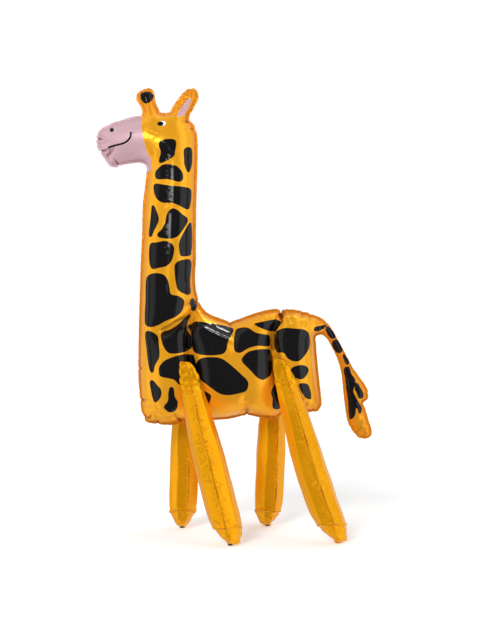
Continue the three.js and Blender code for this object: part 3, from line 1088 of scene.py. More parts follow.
        # both sheets meet at the seam, so it moves by the mean of what they do there
        edge_in = (drawn[Side.NEAR] + drawn[Side.FAR]) / 2
        way = tangents(seam)
        outwards = np.stack([way[:, 1], -way[:, 0]], 1)
        outwards /= np.linalg.norm(outwards, axis=1, keepdims=True)
        moved = outwards * -edge_in[:, None]
        for side, sheet in sheets.items():
            level = np.full(count, side.value * self.seam_thickness / 2)
            sheet[:count] = np.stack([seam[:, 0] + moved[:, 0], level, seam[:, 1] + moved[:, 1]], 1)
        run = np.concatenate([[0], np.cumsum(step)])[:-1]
        mesh_points, faces = self.close(outline + moved, seam + moved, sheets, triangles, run)
        log.info("body: %d points, %d faces", len(mesh_points), len(faces))
        piece = make_object("giraffe_body", mesh_points, faces)
        lanes = self.lanes(outline, seam)
        level = np.zeros(len(lanes))
        places = np.vstack([lanes, points] * 2)
        depths = np.concatenate([level, depth] * 2)
        smooth_places = np.stack([places[:, 0], depths, places[:, 1]], 1)
        for ink, distance in self.art.distances(smooth_places).items():
            keep(piece, ink.value, distance)
        keep(piece, CRINKLE, self.crinkled(places))
        # the depth in narrow folds, which sets the painted shade there
        keep(piece, FOLDED, np.concatenate(folded))
        # the distance up the film from the seam, for the deeper rim colour and the painted shade
        # towards the outline
        keep(piece, RIM_AND_SHADE, np.concatenate([level, up] * 2))
        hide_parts("body")
        return piece

    def wrinkles(self, flat: np.ndarray, up: np.ndarray, puckered: np.ndarray
                 ) -> tuple[np.ndarray, np.ndarray]:
        """Tell how far in one sheet goes.

        Args:
            flat: The smooth sheet as rows of X, Y, Z.
            up: How far each point is from the seam, over the film.
            puckered: How far in the puckers at the seam draw it.

        Returns:
            The depth at each point, and what part of it lies in narrow folds.
        """
        at = flat[:, [0, 2]]
        inward = puckered.copy()
        narrow = puckered.copy()
        for crease in self.creases:
            deeper = crease.inward(at)
            inward += deeper
            if max(crease.left, crease.right) < self.narrow_fold:
                narrow += deeper
        # the seam itself stays even, so both kinds of crumpling come up beside it
        broad_from, fine_from = 30, 6
        inward += self.broad.inward(flat) * smoothstep(up / broad_from)
        inward += self.fine.inward(flat) * self.gathered(at) * smoothstep(up / fine_from)
        return inward, narrow

    def gathered(self, at: np.ndarray) -> np.ndarray:
        """Tell how strongly the film is gathered at each place of X, Z."""
        out = np.zeros(len(at))
        for x, z, reach, strength in self.gathers:
            away = np.hypot(at[:, 0] - x, at[:, 1] - z)
            out = np.maximum(out, strength * np.exp(-((away / reach) ** 2)))
        return out

    def crinkled(self, at: np.ndarray) -> np.ndarray:
        """Tell how strong the small crinkles are at each place of X, Z."""
        out = np.zeros(len(at))
        for x, z, to_x, to_z, reach, strength in self.crinkles:
            away = to_line(at, np.array([[x, z], [to_x, to_z]], float))[0]
            out = np.maximum(out, strength * np.exp(-((away / reach) ** 2)))
        return out

    def lanes(self, outline: np.ndarray, seam: np.ndarray) -> np.ndarray:
        """Space the rows of the sealed edge between the outline and the seam.

        Args:
            outline: The outer edge.
            seam: The inner edge of the sealed strip, point for point.

        Returns:
            The rows one after the other, the outline first and the seam left out.
        """
        rows = [outline + (seam - outline) * k / self.flange_rows for k in range(self.flange_rows)]
        return np.vstack(rows)

    def close(self, outline: np.ndarray, seam: np.ndarray, sheets: dict, triangles: np.ndarray,
              run: np.ndarray) -> tuple[np.ndarray, list]:
        """Put the two sheets back to back and add the sealed edge between them.

        Args:
            outline: The outer edge.
            seam: The inner edge of the sealed strip.
            sheets: The points of each sheet, the seam first.
            triangles: The triangles of one sheet.
            run: How far along the seam each of its points is.

        Returns:
            All points, and all faces turned outwards.
        """
        count = len(seam)
        half = self.seam_thickness / 2
        lanes = self.lanes(outline, seam)
        rise = 1 - np.repeat(np.arange(self.flange_rows) / self.flange_rows, count)
        rng = np.random.default_rng(self.wave_seed)
        wave = np.zeros(count)
        for length in self.wave_lengths:
            rounds = round(run[-1] / length)
            wave += np.sin(2 * np.pi * (rounds * run / run[-1] + rng.uniform())) / 3
        wave = np.tile(wave, self.flange_rows) * rise * self.edge_wave
        out, faces = [], []
        per_side = count * self.flange_rows + len(sheets[Side.NEAR])
        for side in Side:
            out.append(np.stack([lanes[:, 0], wave + side.value * half, lanes[:, 1]], 1))
            out.append(sheets[side])
        here = np.arange(count)
        following = (here + 1) % count
        for lane in range(self.flange_rows):
            a, b = lane * count + here, lane * count + following
            faces += list(np.stack([a, b, b + count, a + count], 1))
            a, b = a + per_side, b + per_side
            faces += list(np.stack([b, a, a + count, b + count], 1))
        faces += list(np.stack([here, here + per_side, following + per_side, following], 1))
        sheet = triangles + self.flange_rows * count
        faces += list(sheet)
        faces += list(sheet[:, ::-1] + per_side)
        return np.vstack(out), faces


@dataclass(frozen=True)
class Dent:
    """A short crease across a leg.

    Attributes:
        share: Where it is along the leg, 0 at the top and 1 at the foot.
        across: Where it is across the leg, -1 at its left edge and 1 at its right.
        reach: Half its length, in millimetres.
        depth: How far in it goes, in millimetres.
        tilt: How many millimetres it drops for each millimetre to the right.
    """

    share: float
    across: float
    reach: float = 12.0
    depth: float = 1.6
    tilt: float = 0.0


@dataclass
class TubeLeg:
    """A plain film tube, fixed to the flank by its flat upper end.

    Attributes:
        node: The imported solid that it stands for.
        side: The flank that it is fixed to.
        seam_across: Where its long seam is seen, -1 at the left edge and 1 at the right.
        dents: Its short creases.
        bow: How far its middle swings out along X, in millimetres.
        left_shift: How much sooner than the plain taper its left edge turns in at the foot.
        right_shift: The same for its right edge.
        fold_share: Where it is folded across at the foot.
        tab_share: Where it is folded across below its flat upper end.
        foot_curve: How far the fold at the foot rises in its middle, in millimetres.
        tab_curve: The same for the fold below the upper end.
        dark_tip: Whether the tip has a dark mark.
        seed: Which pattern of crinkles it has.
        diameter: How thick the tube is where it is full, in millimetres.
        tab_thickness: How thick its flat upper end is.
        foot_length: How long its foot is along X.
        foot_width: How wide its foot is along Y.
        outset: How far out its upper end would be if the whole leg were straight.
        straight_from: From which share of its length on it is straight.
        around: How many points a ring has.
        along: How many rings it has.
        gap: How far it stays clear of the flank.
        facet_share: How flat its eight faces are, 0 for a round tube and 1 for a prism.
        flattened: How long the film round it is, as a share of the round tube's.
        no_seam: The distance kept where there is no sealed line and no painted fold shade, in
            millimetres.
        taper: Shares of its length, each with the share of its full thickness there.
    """

    node: str
    side: Side
    seam_across: float
    dents: tuple[Dent, ...]
    seed: int
    bow: float = 0.0
    left_shift: float = 0.0
    right_shift: float = 0.0
    fold_share: float = 0.905
    tab_share: float = 0.15
    foot_curve: float = -7.0
    tab_curve: float = 4.0
    dark_tip: bool = True
    diameter: float = 70.0
    tab_thickness: float = 6.0
    foot_length: float = 14.0
    foot_width: float = 12.0
    outset: float = 78.0
    straight_from: float = 0.3
    around: int = 128
    along: int = 221
    gap: float = 0.6
    facet_share: float = 0.75
    flattened: float = 0.9
    no_seam: float = 9.0
    taper: tuple[tuple[float, float], ...] = (
        (0.0, 0.26), (0.014, 0.4), (0.05, 0.52), (0.12, 0.66), (0.2, 0.74), (0.3, 0.84),
        (0.4, 0.92), (0.52, 0.98), (0.66, 1.0), (0.8, 1.0), (0.87, 0.96), (0.905, 0.88),
        (0.965, 0.56), (0.985, 0.34), (1.0, 0.2),
    )

    def ends(self) -> tuple[np.ndarray, np.ndarray]:
        """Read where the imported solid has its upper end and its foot, in millimetres."""
        co = np.array([v.co for v in frame["nodes"][self.node].data.vertices]) / MM
        top = co[co[:, 2] > co[:, 2].max() - 0.5]
        foot = co[co[:, 2] < co[:, 2].min() + 0.5]
        return (top.min(0) + top.max(0)) / 2, (foot.min(0) + foot.max(0)) / 2

    def seam_angle(self) -> float:
        """Turn the seam's place across the leg into an angle round it."""
        seen = math.acos(self.seam_across)
        return seen if self.side is Side.NEAR else -seen

    def from_seams(self, angle: np.ndarray) -> np.ndarray:
        """Measure the turn from the nearer of the two long seams, which lie opposite."""
        return (angle - self.seam_angle() + np.pi / 2) % np.pi - np.pi / 2

    def arc(self, angle: np.ndarray) -> np.ndarray:
        """Measure over the film from the nearer long seam, in millimetres."""
        return self.from_seams(angle) * self.diameter / 2 * self.flattened

    def facets(self, angle: np.ndarray, share: np.ndarray) -> np.ndarray:
        """Flatten a round section into eight faces with one corner on the seam.

        Args:
            angle: The angle round the leg of each point of a ring.
            share: Each ring's place along the leg.

        Returns:
            For each ring and angle, the share of the round section's radius.
        """
        faces = 8
        half = math.pi / faces
        # the corners wander a little round the leg on their way down
        drift = 0.08 * np.sin(share * 5 + self.seed) + 0.04 * np.sin(share * 17 + self.seed)
        off = (angle[None] - self.seam_angle() - drift[:, None]) % (2 * half) - half
        flat = math.cos(half) / np.cos(off)
        return 1 - self.facet_share * (1 - flat)

    def rings(self, flank: BVHTree) -> tuple[np.ndarray, np.ndarray, np.ndarray]:
        """Lay out the tube's rings, clear of the flank.

        Args:
            flank: The body's surface, in metres.

        Returns:
            The points by ring and angle, the angles, and each ring's share of the length.
        """
        top, foot = self.ends()
        share = np.linspace(0, 1, self.along)
        half = self.diameter / 2
        lean = 1 / math.cos(math.atan2(foot[0] - top[0], top[2]))
        stations = np.array(self.taper)
        width = np.interp(share, stations[:, 0], stations[:, 1]) * half
        tip_from = 0.985
        at_foot = smoothstep((share - tip_from) / (1 - tip_from))
        bend = smoothstep(share / self.straight_from)
        depth = self.tab_thickness / 2 * (1 - bend) + width * bend
        half_width = depth * (1 - at_foot) + self.foot_width / 2 * at_foot
        straight = self.outset + (abs(foot[1]) - self.outset) * share
        # more than 1 puts the widest swing below the leg's middle
        low = 1.6
        x = top[0] + (foot[0] - top[0]) * share + self.bow * np.sin(np.pi * share**low)
        z = top[2] * (1 - share)
        fixed = self.flank_depth(flank, top[0], top[2]) + self.tab_thickness / 2
        y = fixed + (straight - fixed) * bend
        shelf = np.zeros(self.along)
        probes = np.linspace(-0.9, 0.9, 7)
        for i in range(self.along):
            spots = probes * width[i] + x[i]
            shelf[i] = max(self.flank_depth(flank, spot, z[i]) for spot in spots)
        room = shelf + self.gap + self.tab_thickness - half_width
        y = np.where(shelf > 0, np.maximum(y, room), y)
        blur = 15
        padded = np.pad(y, blur, mode="edge")
        y = np.convolve(padded, np.hanning(2 * blur + 1) / blur, mode="same")[blur:-blur]
        angle = np.linspace(0, 2 * np.pi, self.around, endpoint=False)
        widths = {}
        shift_from, shift_over = 0.6, 0.3
        lower = smoothstep((share - shift_from) / shift_over)
        for name, shift in (("left", self.left_shift), ("right", self.right_shift)):
            moved = np.clip(share + shift * lower, 0, 1)
            wide = np.interp(moved, stations[:, 0], stations[:, 1]) * half * lean
            widths[name] = wide * (1 - at_foot) + self.foot_length / 2 * at_foot
        across = np.where(np.cos(angle)[None] < 0, widths["left"][:, None],
                          widths["right"][:, None])
        shape = self.facets(angle, share)
        rings = np.stack([
            x[:, None] + across * np.cos(angle) * shape,
            y[:, None] + half_width[:, None] * np.sin(angle) * shape,
            np.repeat(z[:, None], self.around, 1),
        ], 2)
        return rings, angle, share

    def below_fold(self, at: float, curve: float, angle: np.ndarray, share: np.ndarray
                   ) -> np.ndarray:
        """Measure how far each point lies below a curved fold across the leg.

        Args:
            at: The fold's place along the leg.
            curve: How far it rises in its middle, in millimetres.
            angle: The angles round the leg.
            share: Each ring's share of the length.

        Returns:
            The distance by ring and angle, in millimetres.
        """
        length = self.ends()[0][2]
        uneven = 1.5 * np.sin(3 * angle + self.seed) + 0.8 * np.sin(7 * angle + 2 * self.seed)
        return ((share - at) * length)[:, None] - (curve * np.sin(angle) ** 2 + uneven)[None]

    def seal_and_shade(self, angle: np.ndarray, share: np.ndarray) -> np.ndarray:
        """Measure the distance to the brown sealed line, which stands out more in some places and is
        partly painted shade in its groove, and to the fold above the foot, whose brown line is
        painted shade.

        Args:
            angle: The angles round the leg.
            share: Each ring's share of the length.

        Returns:
            The distance by ring and angle, in millimetres.
        """
        fainter = 1.3
        line = np.abs(self.arc(angle))[None]
        faint = 0.5 + 0.5 * np.sin(share * 31 + self.seed) * np.sin(share * 13 + 2 * self.seed)
        line = line + fainter * faint[:, None]
        fold = self.below_fold(self.fold_share, self.foot_curve, angle, share)
        line = np.where(fold > 0, self.no_seam, line)
        return np.minimum(line, np.abs(fold) + fainter / 2)

    def tucked(self, arc: np.ndarray, length: np.ndarray) -> np.ndarray:
        """Tell how far in the long seams go: narrow grooves with small tucks to both sides.

        Args:
            arc: How far each angle is from the nearer seam, over the film.
            length: How far down each ring is.

        Returns:
            The depth by ring and angle, in millimetres.
        """
        rng = np.random.default_rng(self.seed)
        groove, groove_reach = 2.2, 3.4
        tuck_reach, tuck_slant = 2.6, 0.15
        out = groove * np.clip(1 - np.abs(arc) / groove_reach, 0, 1)
        place = 0.0
        while place < length.max():
            reach = rng.uniform(5, 13)
            tuck = np.clip(1 - np.abs(length - place - tuck_slant * arc) / tuck_reach, 0, 1)
            out = out + rng.uniform(0.4, 1.6) * tuck * np.exp(-((arc / reach) ** 2))
            place += rng.uniform(5, 11)
        return out

    def dented(self, angle: np.ndarray, length: np.ndarray) -> np.ndarray:
        """Tell how far in the dents go, each a short crease with a low lip above it.

        The side that the photograph doesn't show has the same dents, a little further down.

        Args:
            angle: The angles round the leg.
            length: How far down each ring is.

        Returns:
            The depth by ring and angle, in millimetres.
        """
        lower_behind, deeper = 0.07, 1.4
        crease_reach, lip_above, lip_reach, lip_height = 3.6, 4.5, 4.0, 0.5
        half = self.diameter / 2
        out = np.zeros((len(length), len(angle)))
        for dent, turn in [(dent, turn) for dent in self.dents for turn in (1, -1)]:
            seen = turn * math.acos(dent.across)
            at = seen if self.side is Side.NEAR else -seen
            away = ((angle - at + np.pi) % (2 * np.pi) - np.pi) * half
            away = (-away if self.side is Side.NEAR else away)[None]
            place = dent.share if turn > 0 else dent.share + lower_behind
            down = length - place * length.max() - dent.tilt * away
            crease = np.clip(1 - np.abs(down) / crease_reach, 0, 1) ** 1.3
            lip = np.clip(1 - np.abs(down + lip_above) / lip_reach, 0, 1)
            fade = np.exp(-((away / dent.reach) ** 2))
            out += deeper * dent.depth * (crease - lip_height * lip) * fade
        return out

    def folded_across(self, angle: np.ndarray, share: np.ndarray) -> np.ndarray:
        """Tell how far in the folds below the flat upper end and above the foot go.

        Args:
            angle: The angles round the leg.
            share: Each ring's share of the length.

        Returns:
            The depth by ring and angle, in millimetres.
        """
        reach, at_edges = 5.0, 0.35
        # both are deepest on the two broad sides and shallow where those meet
        broad_side = smoothstep(np.abs(np.sin(angle))[None] * 1.6)
        out = np.zeros((len(share), len(angle)))
        for at, depth, curve in (
            (self.tab_share, 2.8, self.tab_curve),
            (self.fold_share, 5.4, self.foot_curve),
        ):
            down = self.below_fold(at, curve, angle, share)
            line = np.clip(1 - np.abs(down) / reach, 0, 1) ** 1.4
            out += depth * line * (at_edges + (1 - at_edges) * broad_side)
        return out

    def crumpled(self, rings: np.ndarray, share: np.ndarray) -> np.ndarray:
        """Tell how far in the film goes where it is crumpled, at the foot and the upper end.

        Args:
            rings: The smooth points by ring and angle.
            share: Each ring's share of the length.

        Returns:
            The depth by ring and angle, in millimetres.
        """
        places = rings.reshape(-1, 3)
        at_foot = smoothstep((share - self.fold_share) / 0.02)[:, None]
        at_tab = smoothstep((self.tab_share - share) / 0.03)[:, None] * 0.75
        fine = Crumple(3.8, 11.0, self.seed).inward(places).reshape(rings.shape[:2])
        broad = Crumple(0.8, 30.0, self.seed + 1).inward(places).reshape(rings.shape[:2])
        # the foot hardly stands out past the tube, so its crumpling runs nearly all inwards
        most_out = 0.6
        return np.maximum(fine, -most_out) * at_foot + fine * at_tab + broad

    def wrinkles(self, rings: np.ndarray, angle: np.ndarray, share: np.ndarray) -> np.ndarray:
        """Tell how far in the film goes at each point of the tube.

        Args:
            rings: The smooth points by ring and angle.
            angle: The angles round the leg.
            share: Each ring's share of the length.

        Returns:
            The depth by ring and angle, in millimetres.
        """
        length = share[:, None] * self.ends()[0][2]
        below_tab = smoothstep((share - self.tab_share) / 0.06)
        above_foot = smoothstep((self.fold_share - share) / 0.03)
        tube_part = (below_tab * above_foot)[:, None]
        off_tip = smoothstep((1 - share) / 0.02)[:, None]
        return off_tip * (
            self.tucked(self.arc(angle)[None], length) * tube_part
            + self.dented(angle, length)
            + self.folded_across(angle, share)
            + self.crumpled(rings, share)
        )

    def build(self, flank: BVHTree) -> bpy.types.Object:
        """Loft the tube, wrinkle it and press it against the flank.

        Args:
            flank: The body's surface, in metres.

        Returns:
            The leg's object.
        """
        rings, angle, share = self.rings(flank)
        faces = []
        for r in range(self.along - 1):
            a = r * self.around + np.arange(self.around)
            b = r * self.around + (np.arange(self.around) + 1) % self.around
            faces.append(np.stack([a, b, b + self.around, a + self.around], 1))
        quads = np.vstack(faces)
        points = rings.reshape(-1, 3)
        halves = np.vstack([quads[:, [0, 1, 2]], quads[:, [0, 2, 3]]])
        normals = sheet_normals(points, halves)
        points = points - normals * self.wrinkles(rings, angle, share).reshape(-1, 1)
        for i, (vx, vy, vz) in enumerate(points):
            surface = self.flank_depth(flank, vx, vz)
            if surface > 0 and vy < surface + self.gap:
                points[i, 1] = surface + self.gap
        points[:, 1] *= self.side.value
        points[:, 2] = np.maximum(points[:, 2], 0)
        points[-self.around :, 2] = 0
        last = len(points)
        centres = np.vstack([points[: self.around].mean(0), points[-self.around :].mean(0)])
        points = np.vstack([points, centres])
        ring = np.arange(self.around)
        following = (ring + 1) % self.around
        below = last - self.around
        caps = np.vstack([
            np.stack([following, ring, np.full(self.around, last)], 1),
            np.stack([ring + below, following + below, np.full(self.around, last + 1)], 1),
        ])
        turned = self.side is not Side.NEAR
        all_faces = [list(f[::-1] if turned else f) for part in (quads, caps) for f in part]
        piece = make_object(f"{self.node}_tube", points, all_faces)
        if self.dark_tip:
            mark_x, mark_z, half_length, half_height = self.ends()[1][0] - 2, 1, 5, 4
            away = (points[:, 0] - mark_x) / half_length, (points[:, 2] - mark_z) / half_height
            keep(piece, Ink.BLACK.value, (np.hypot(*away) - 1) * half_height)
        at_centres = [self.no_seam] * 2
        # brown lines along the long seams, partly painted shade in their grooves, and painted shade
        # along the fold above the foot
        keep(piece, SEAL_AND_SHADE, np.append(self.seal_and_shade(angle, share).ravel(), at_centres))
        off = np.abs(self.from_seams(angle)) * self.diameter / 2
        away = np.append(np.tile(off, self.along), at_centres)
        strength, reach = 1.5, 15
        keep(piece, CRINKLE, strength * np.exp(-((away / reach) ** 2)))
        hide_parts(self.node)
        return piece

    def flank_depth(self, flank: BVHTree, x: float, z: float) -> float:
        """Measure how far the flank bulges at a place.

        Args:
            flank: The body's surface, in metres.
            x: The place, in millimetres.
            z: The place, in millimetres.

        Returns:
            The distance from the middle plane, or zero beside the body.
        """
        outside = 400.0 * self.side.value
        start = Vector((x, outside, z)) * MM
        hit = flank.ray_cast(start, Vector((0, -self.side.value, 0)))
        return abs(hit[0].y) / MM if hit[0] else 0.0


def add(tree: bpy.types.NodeTree, kind: str, settings: dict | None = None,
        links: dict | None = None) -> bpy.types.Node:
    """Add a node with its settings and links.

    Args:
        tree: The material's or world's node tree.
        kind: The node's type.
        settings: Values by attribute name, or by input name or number.
        links: Output sockets by input name or number.

    Returns:
        The new node.
    """
    node = tree.nodes.new(kind)
    for key, value in (settings or {}).items():
        if isinstance(key, str) and hasattr(node, key):
            setattr(node, key, value)
        else:
            node.inputs[key].default_value = value
    for key, socket in (links or {}).items():
        tree.links.new(socket, node.inputs[key])
    return node


@dataclass(frozen=True)
class Print:
    """One printed colour: what it does to the film's colour, metal and gloss."""

    tone: str
    metallic: float
    roughness: float


@dataclass(frozen=True)
class Foil:
    """Metallised nylon film with ink on its outside.

    The metal under the translucent yellow gives it a satin glow that keeps its colour where
    it mirrors the room; the black ink lies over it as a smooth varnish with sharp reflections.

    Attributes:
        name: What the film is and how it was finished.
        yellow: Its colour.
        rim: Its colour where film is sealed on film, and painted shade over the film's first 2 cm
            towards the outline; on the legs, the colour of the sealed lines with painted shade in
            their grooves and along the fold above the foot.
        shade: What its colour is multiplied by deep in a narrow fold, as painted shade.
        metallic: How much of its look is metal.
        roughness: How blurred it mirrors.
        inks: The colours that are printed on it.
        sealed: Whether it has the legs' sealed lines with their painted shade instead of the body's
            rim and the painted shade in its narrow folds.
        gloss: How strongly its clear outside mirrors.
        crinkle_height: How high the fine crinkles are, in millimetres.
        crinkle_scale: How fine they are.
        prints: What each ink does to the film.
    """

    name: str
    yellow: str = "#FFB121"
    rim: str = "#F3961A"
    shade: str = "#8A5A4A"
    metallic: float = 0.53
    roughness: float = 0.28
    inks: tuple[Ink, ...] = ()
    sealed: bool = False
    gloss: float = 0.35
    crinkle_height: float = 2.2
    crinkle_scale: float = 130.0
    prints: dict[Ink, Print] = field(
        default_factory=lambda: {
            Ink.PINK: Print("#D2ACB6", 0.4, 0.4),
            Ink.WHITE: Print("#FFFFFF", 0.2, 0.3),
            Ink.BLACK: Print("#0C0A0C", 0.0, 0.09),
            Ink.LINE: Print("#050304", 0.0, 0.2),
        }
    )

    def material(self) -> bpy.types.Material:
        """Make the film's material with the inks that are printed on it."""
        made = bpy.data.materials.new(self.name)
        made.use_nodes = True
        tree = made.node_tree
        shader = tree.nodes["Principled BSDF"]
        shader.inputs["Metallic"].default_value = self.metallic
        shader.inputs["Roughness"].default_value = self.roughness
        shader.inputs["Base Color"].default_value = linear(self.yellow)
        shader.inputs["Specular IOR Level"].default_value = self.gloss
        colour = self.edge_tint_and_shade(tree)
        metal = rough = None
        for ink in self.inks:
            look = self.prints[ink]
            covered = self.covered(tree, ink)
            mix = add(tree, "ShaderNodeMix", {"data_type": "RGBA", 7: linear(look.tone)},
                      {"Factor": covered, 6: colour})
            shine = add(tree, "ShaderNodeMix", {2: self.metallic, 3: look.metallic},
                        {"Factor": covered} | ({2: metal} if metal else {}))
            dull = add(tree, "ShaderNodeMix", {2: self.roughness, 3: look.roughness},
                       {"Factor": covered} | ({2: rough} if rough else {}))
            colour, metal, rough = mix.outputs[2], shine.outputs[0], dull.outputs[0]
        # painted shade deep in the body's narrow folds
        if not self.sealed:
            colour = self.painted_fold_shade(tree, colour)
        tree.links.new(colour, shader.inputs["Base Color"])
        if metal:
            tree.links.new(metal, shader.inputs["Metallic"])
            tree.links.new(rough, shader.inputs["Roughness"])
        tree.links.new(self.crinkles(tree), shader.inputs["Normal"])
        return made

    def covered(self, tree: bpy.types.NodeTree, ink: Ink) -> bpy.types.NodeSocket:
        """Turn an ink's distance into 1 where it is printed and 0 where it isn't.

        Args:
            tree: The material's node tree.
            ink: The printed colour.

        Returns:
            The socket that says how much of the film it covers.
        """
        read = add(tree, "ShaderNodeAttribute", {"attribute_name": ink.value})
        away = read.outputs["Fac"]
        middle = 0.0
        if ink is Ink.LINE:
            away = add(tree, "ShaderNodeMath", {"operation": "ABSOLUTE"}, {0: away}).outputs[0]
            middle = Artwork.mouth_width / 2
        soft = 0.3
        edge = {"From Min": middle - soft, "From Max": middle + soft, "To Min": 1.0, "To Max": 0.0}
        return add(tree, "ShaderNodeMapRange", edge, {"Value": away}).outputs["Result"]

    def edge_tint_and_shade(self, tree: bpy.types.NodeTree) -> bpy.types.NodeSocket:
        """Deepen the yellow towards the seam: the film's own deeper colour where it lies on film,
        then painted shade over its first 2 cm towards the outline; on the legs, brown sealed lines
        with painted shade in their grooves and along the fold above the foot.
        """
        name = SEAL_AND_SHADE if self.sealed else RIM_AND_SHADE
        # the legs' sealed line and its painted shade are about a millimetre wide, the body's rim and
        # its painted shade fade over 2 cm
        near, far = (0.2, 1.8) if self.sealed else (5.0, 28.0)
        read = add(tree, "ShaderNodeAttribute", {"attribute_name": name})
        share = add(tree, "ShaderNodeMapRange",
                    {"From Min": near, "From Max": far, "To Min": 1.0, "To Max": 0.0},
                    {"Value": read.outputs["Fac"]})
        mix = add(tree, "ShaderNodeMix",
                  {"data_type": "RGBA", 6: linear(self.yellow), 7: linear(self.rim)},
                  {"Factor": share.outputs["Result"]})
        return mix.outputs[2]

    def painted_fold_shade(self, tree: bpy.types.NodeTree, colour: bpy.types.NodeSocket
                   ) -> bpy.types.NodeSocket:
        """Darken the film deep in its narrow folds as painted shade, where it mirrors only itself.

        Args:
            tree: The material's node tree.
            colour: The film's colour with its print.

        Returns:
            The darkened colour.
        """
        shallow, deep, darkest = 0.8, 3.4, 0.85
        read = add(tree, "ShaderNodeAttribute", {"attribute_name": FOLDED})
        share = add(tree, "ShaderNodeMapRange",
                    {"From Min": shallow, "From Max": deep, "To Min": 0.0, "To Max": darkest},
                    {"Value": read.outputs["Fac"]})
        mix = add(tree, "ShaderNodeMix",
                  {"data_type": "RGBA", "blend_type": "MULTIPLY", 7: linear(self.shade)},
                  {"Factor": share.outputs["Result"], 6: colour})
        return mix.outputs[2]

    def crinkles(self, tree: bpy.types.NodeTree) -> bpy.types.NodeSocket:
        """Raise fine crinkles, drawn out sideways, where the mesh says how strong they are."""
        strength = add(tree, "ShaderNodeAttribute", {"attribute_name": CRINKLE})
        place = add(tree, "ShaderNodeTexCoord")
        drawn = add(tree, "ShaderNodeMapping", {"Scale": (0.5, 0.5, 1.0)},
                    {"Vector": place.outputs["Object"]})
        # a scale of 130 puts a crest about every 8 mm, with detail at half of that
        noise = add(tree, "ShaderNodeTexNoise",
                    {"Scale": self.crinkle_scale, "Detail": 1.5, "Distortion": 0.8},
                    {"Vector": drawn.outputs[0]})
        height = add(tree, "ShaderNodeMath", {"operation": "MULTIPLY"},
                     {0: noise.outputs["Fac"], 1: strength.outputs["Fac"]})
        bump = add(tree, "ShaderNodeBump", {"Strength": 1.0, "Distance": self.crinkle_height * MM},
                   {"Height": height.outputs[0]})
        return bump.outputs["Normal"]


@dataclass(frozen=True)
class Softbox:
    """A small softbox with a grid, so that only what it is aimed at mirrors it.

    Attributes:
        name: The lamp's name.
        place: Where it hangs, in metres.
        aim: Where it points, in metres.
        size: Its width and height, in metres.
        brightness: How bright it looks from the middle of its beam.
        beam: How wide its beam is, in degrees.
    """

    name: str
    place: tuple[float, float, float]
    aim: tuple[float, float, float]
    size: tuple[float, float]
    brightness: float
    beam: float

    def hang(self) -> None:
        """Make the lamp and turn it to its aim."""
        width, height = self.size
        data = bpy.data.lights.new(self.name, "AREA")
        data.shape = "RECTANGLE"
        data.size, data.size_y = width, height
        data.spread = math.radians(self.beam)
        half = data.spread / 2
        # a narrow grid gathers the same power into its beam
        gathered = math.tan(half) / (math.tan(half) - half)
        data.energy = self.brightness * math.pi * width * height / gathered
        lamp = bpy.data.objects.new(self.name, data)
        lamp.location = self.place
        way = Vector(self.aim) - Vector(self.place)
        lamp.rotation_euler = way.to_track_quat("-Z", "Y").to_euler()
        bpy.context.scene.collection.objects.link(lamp)


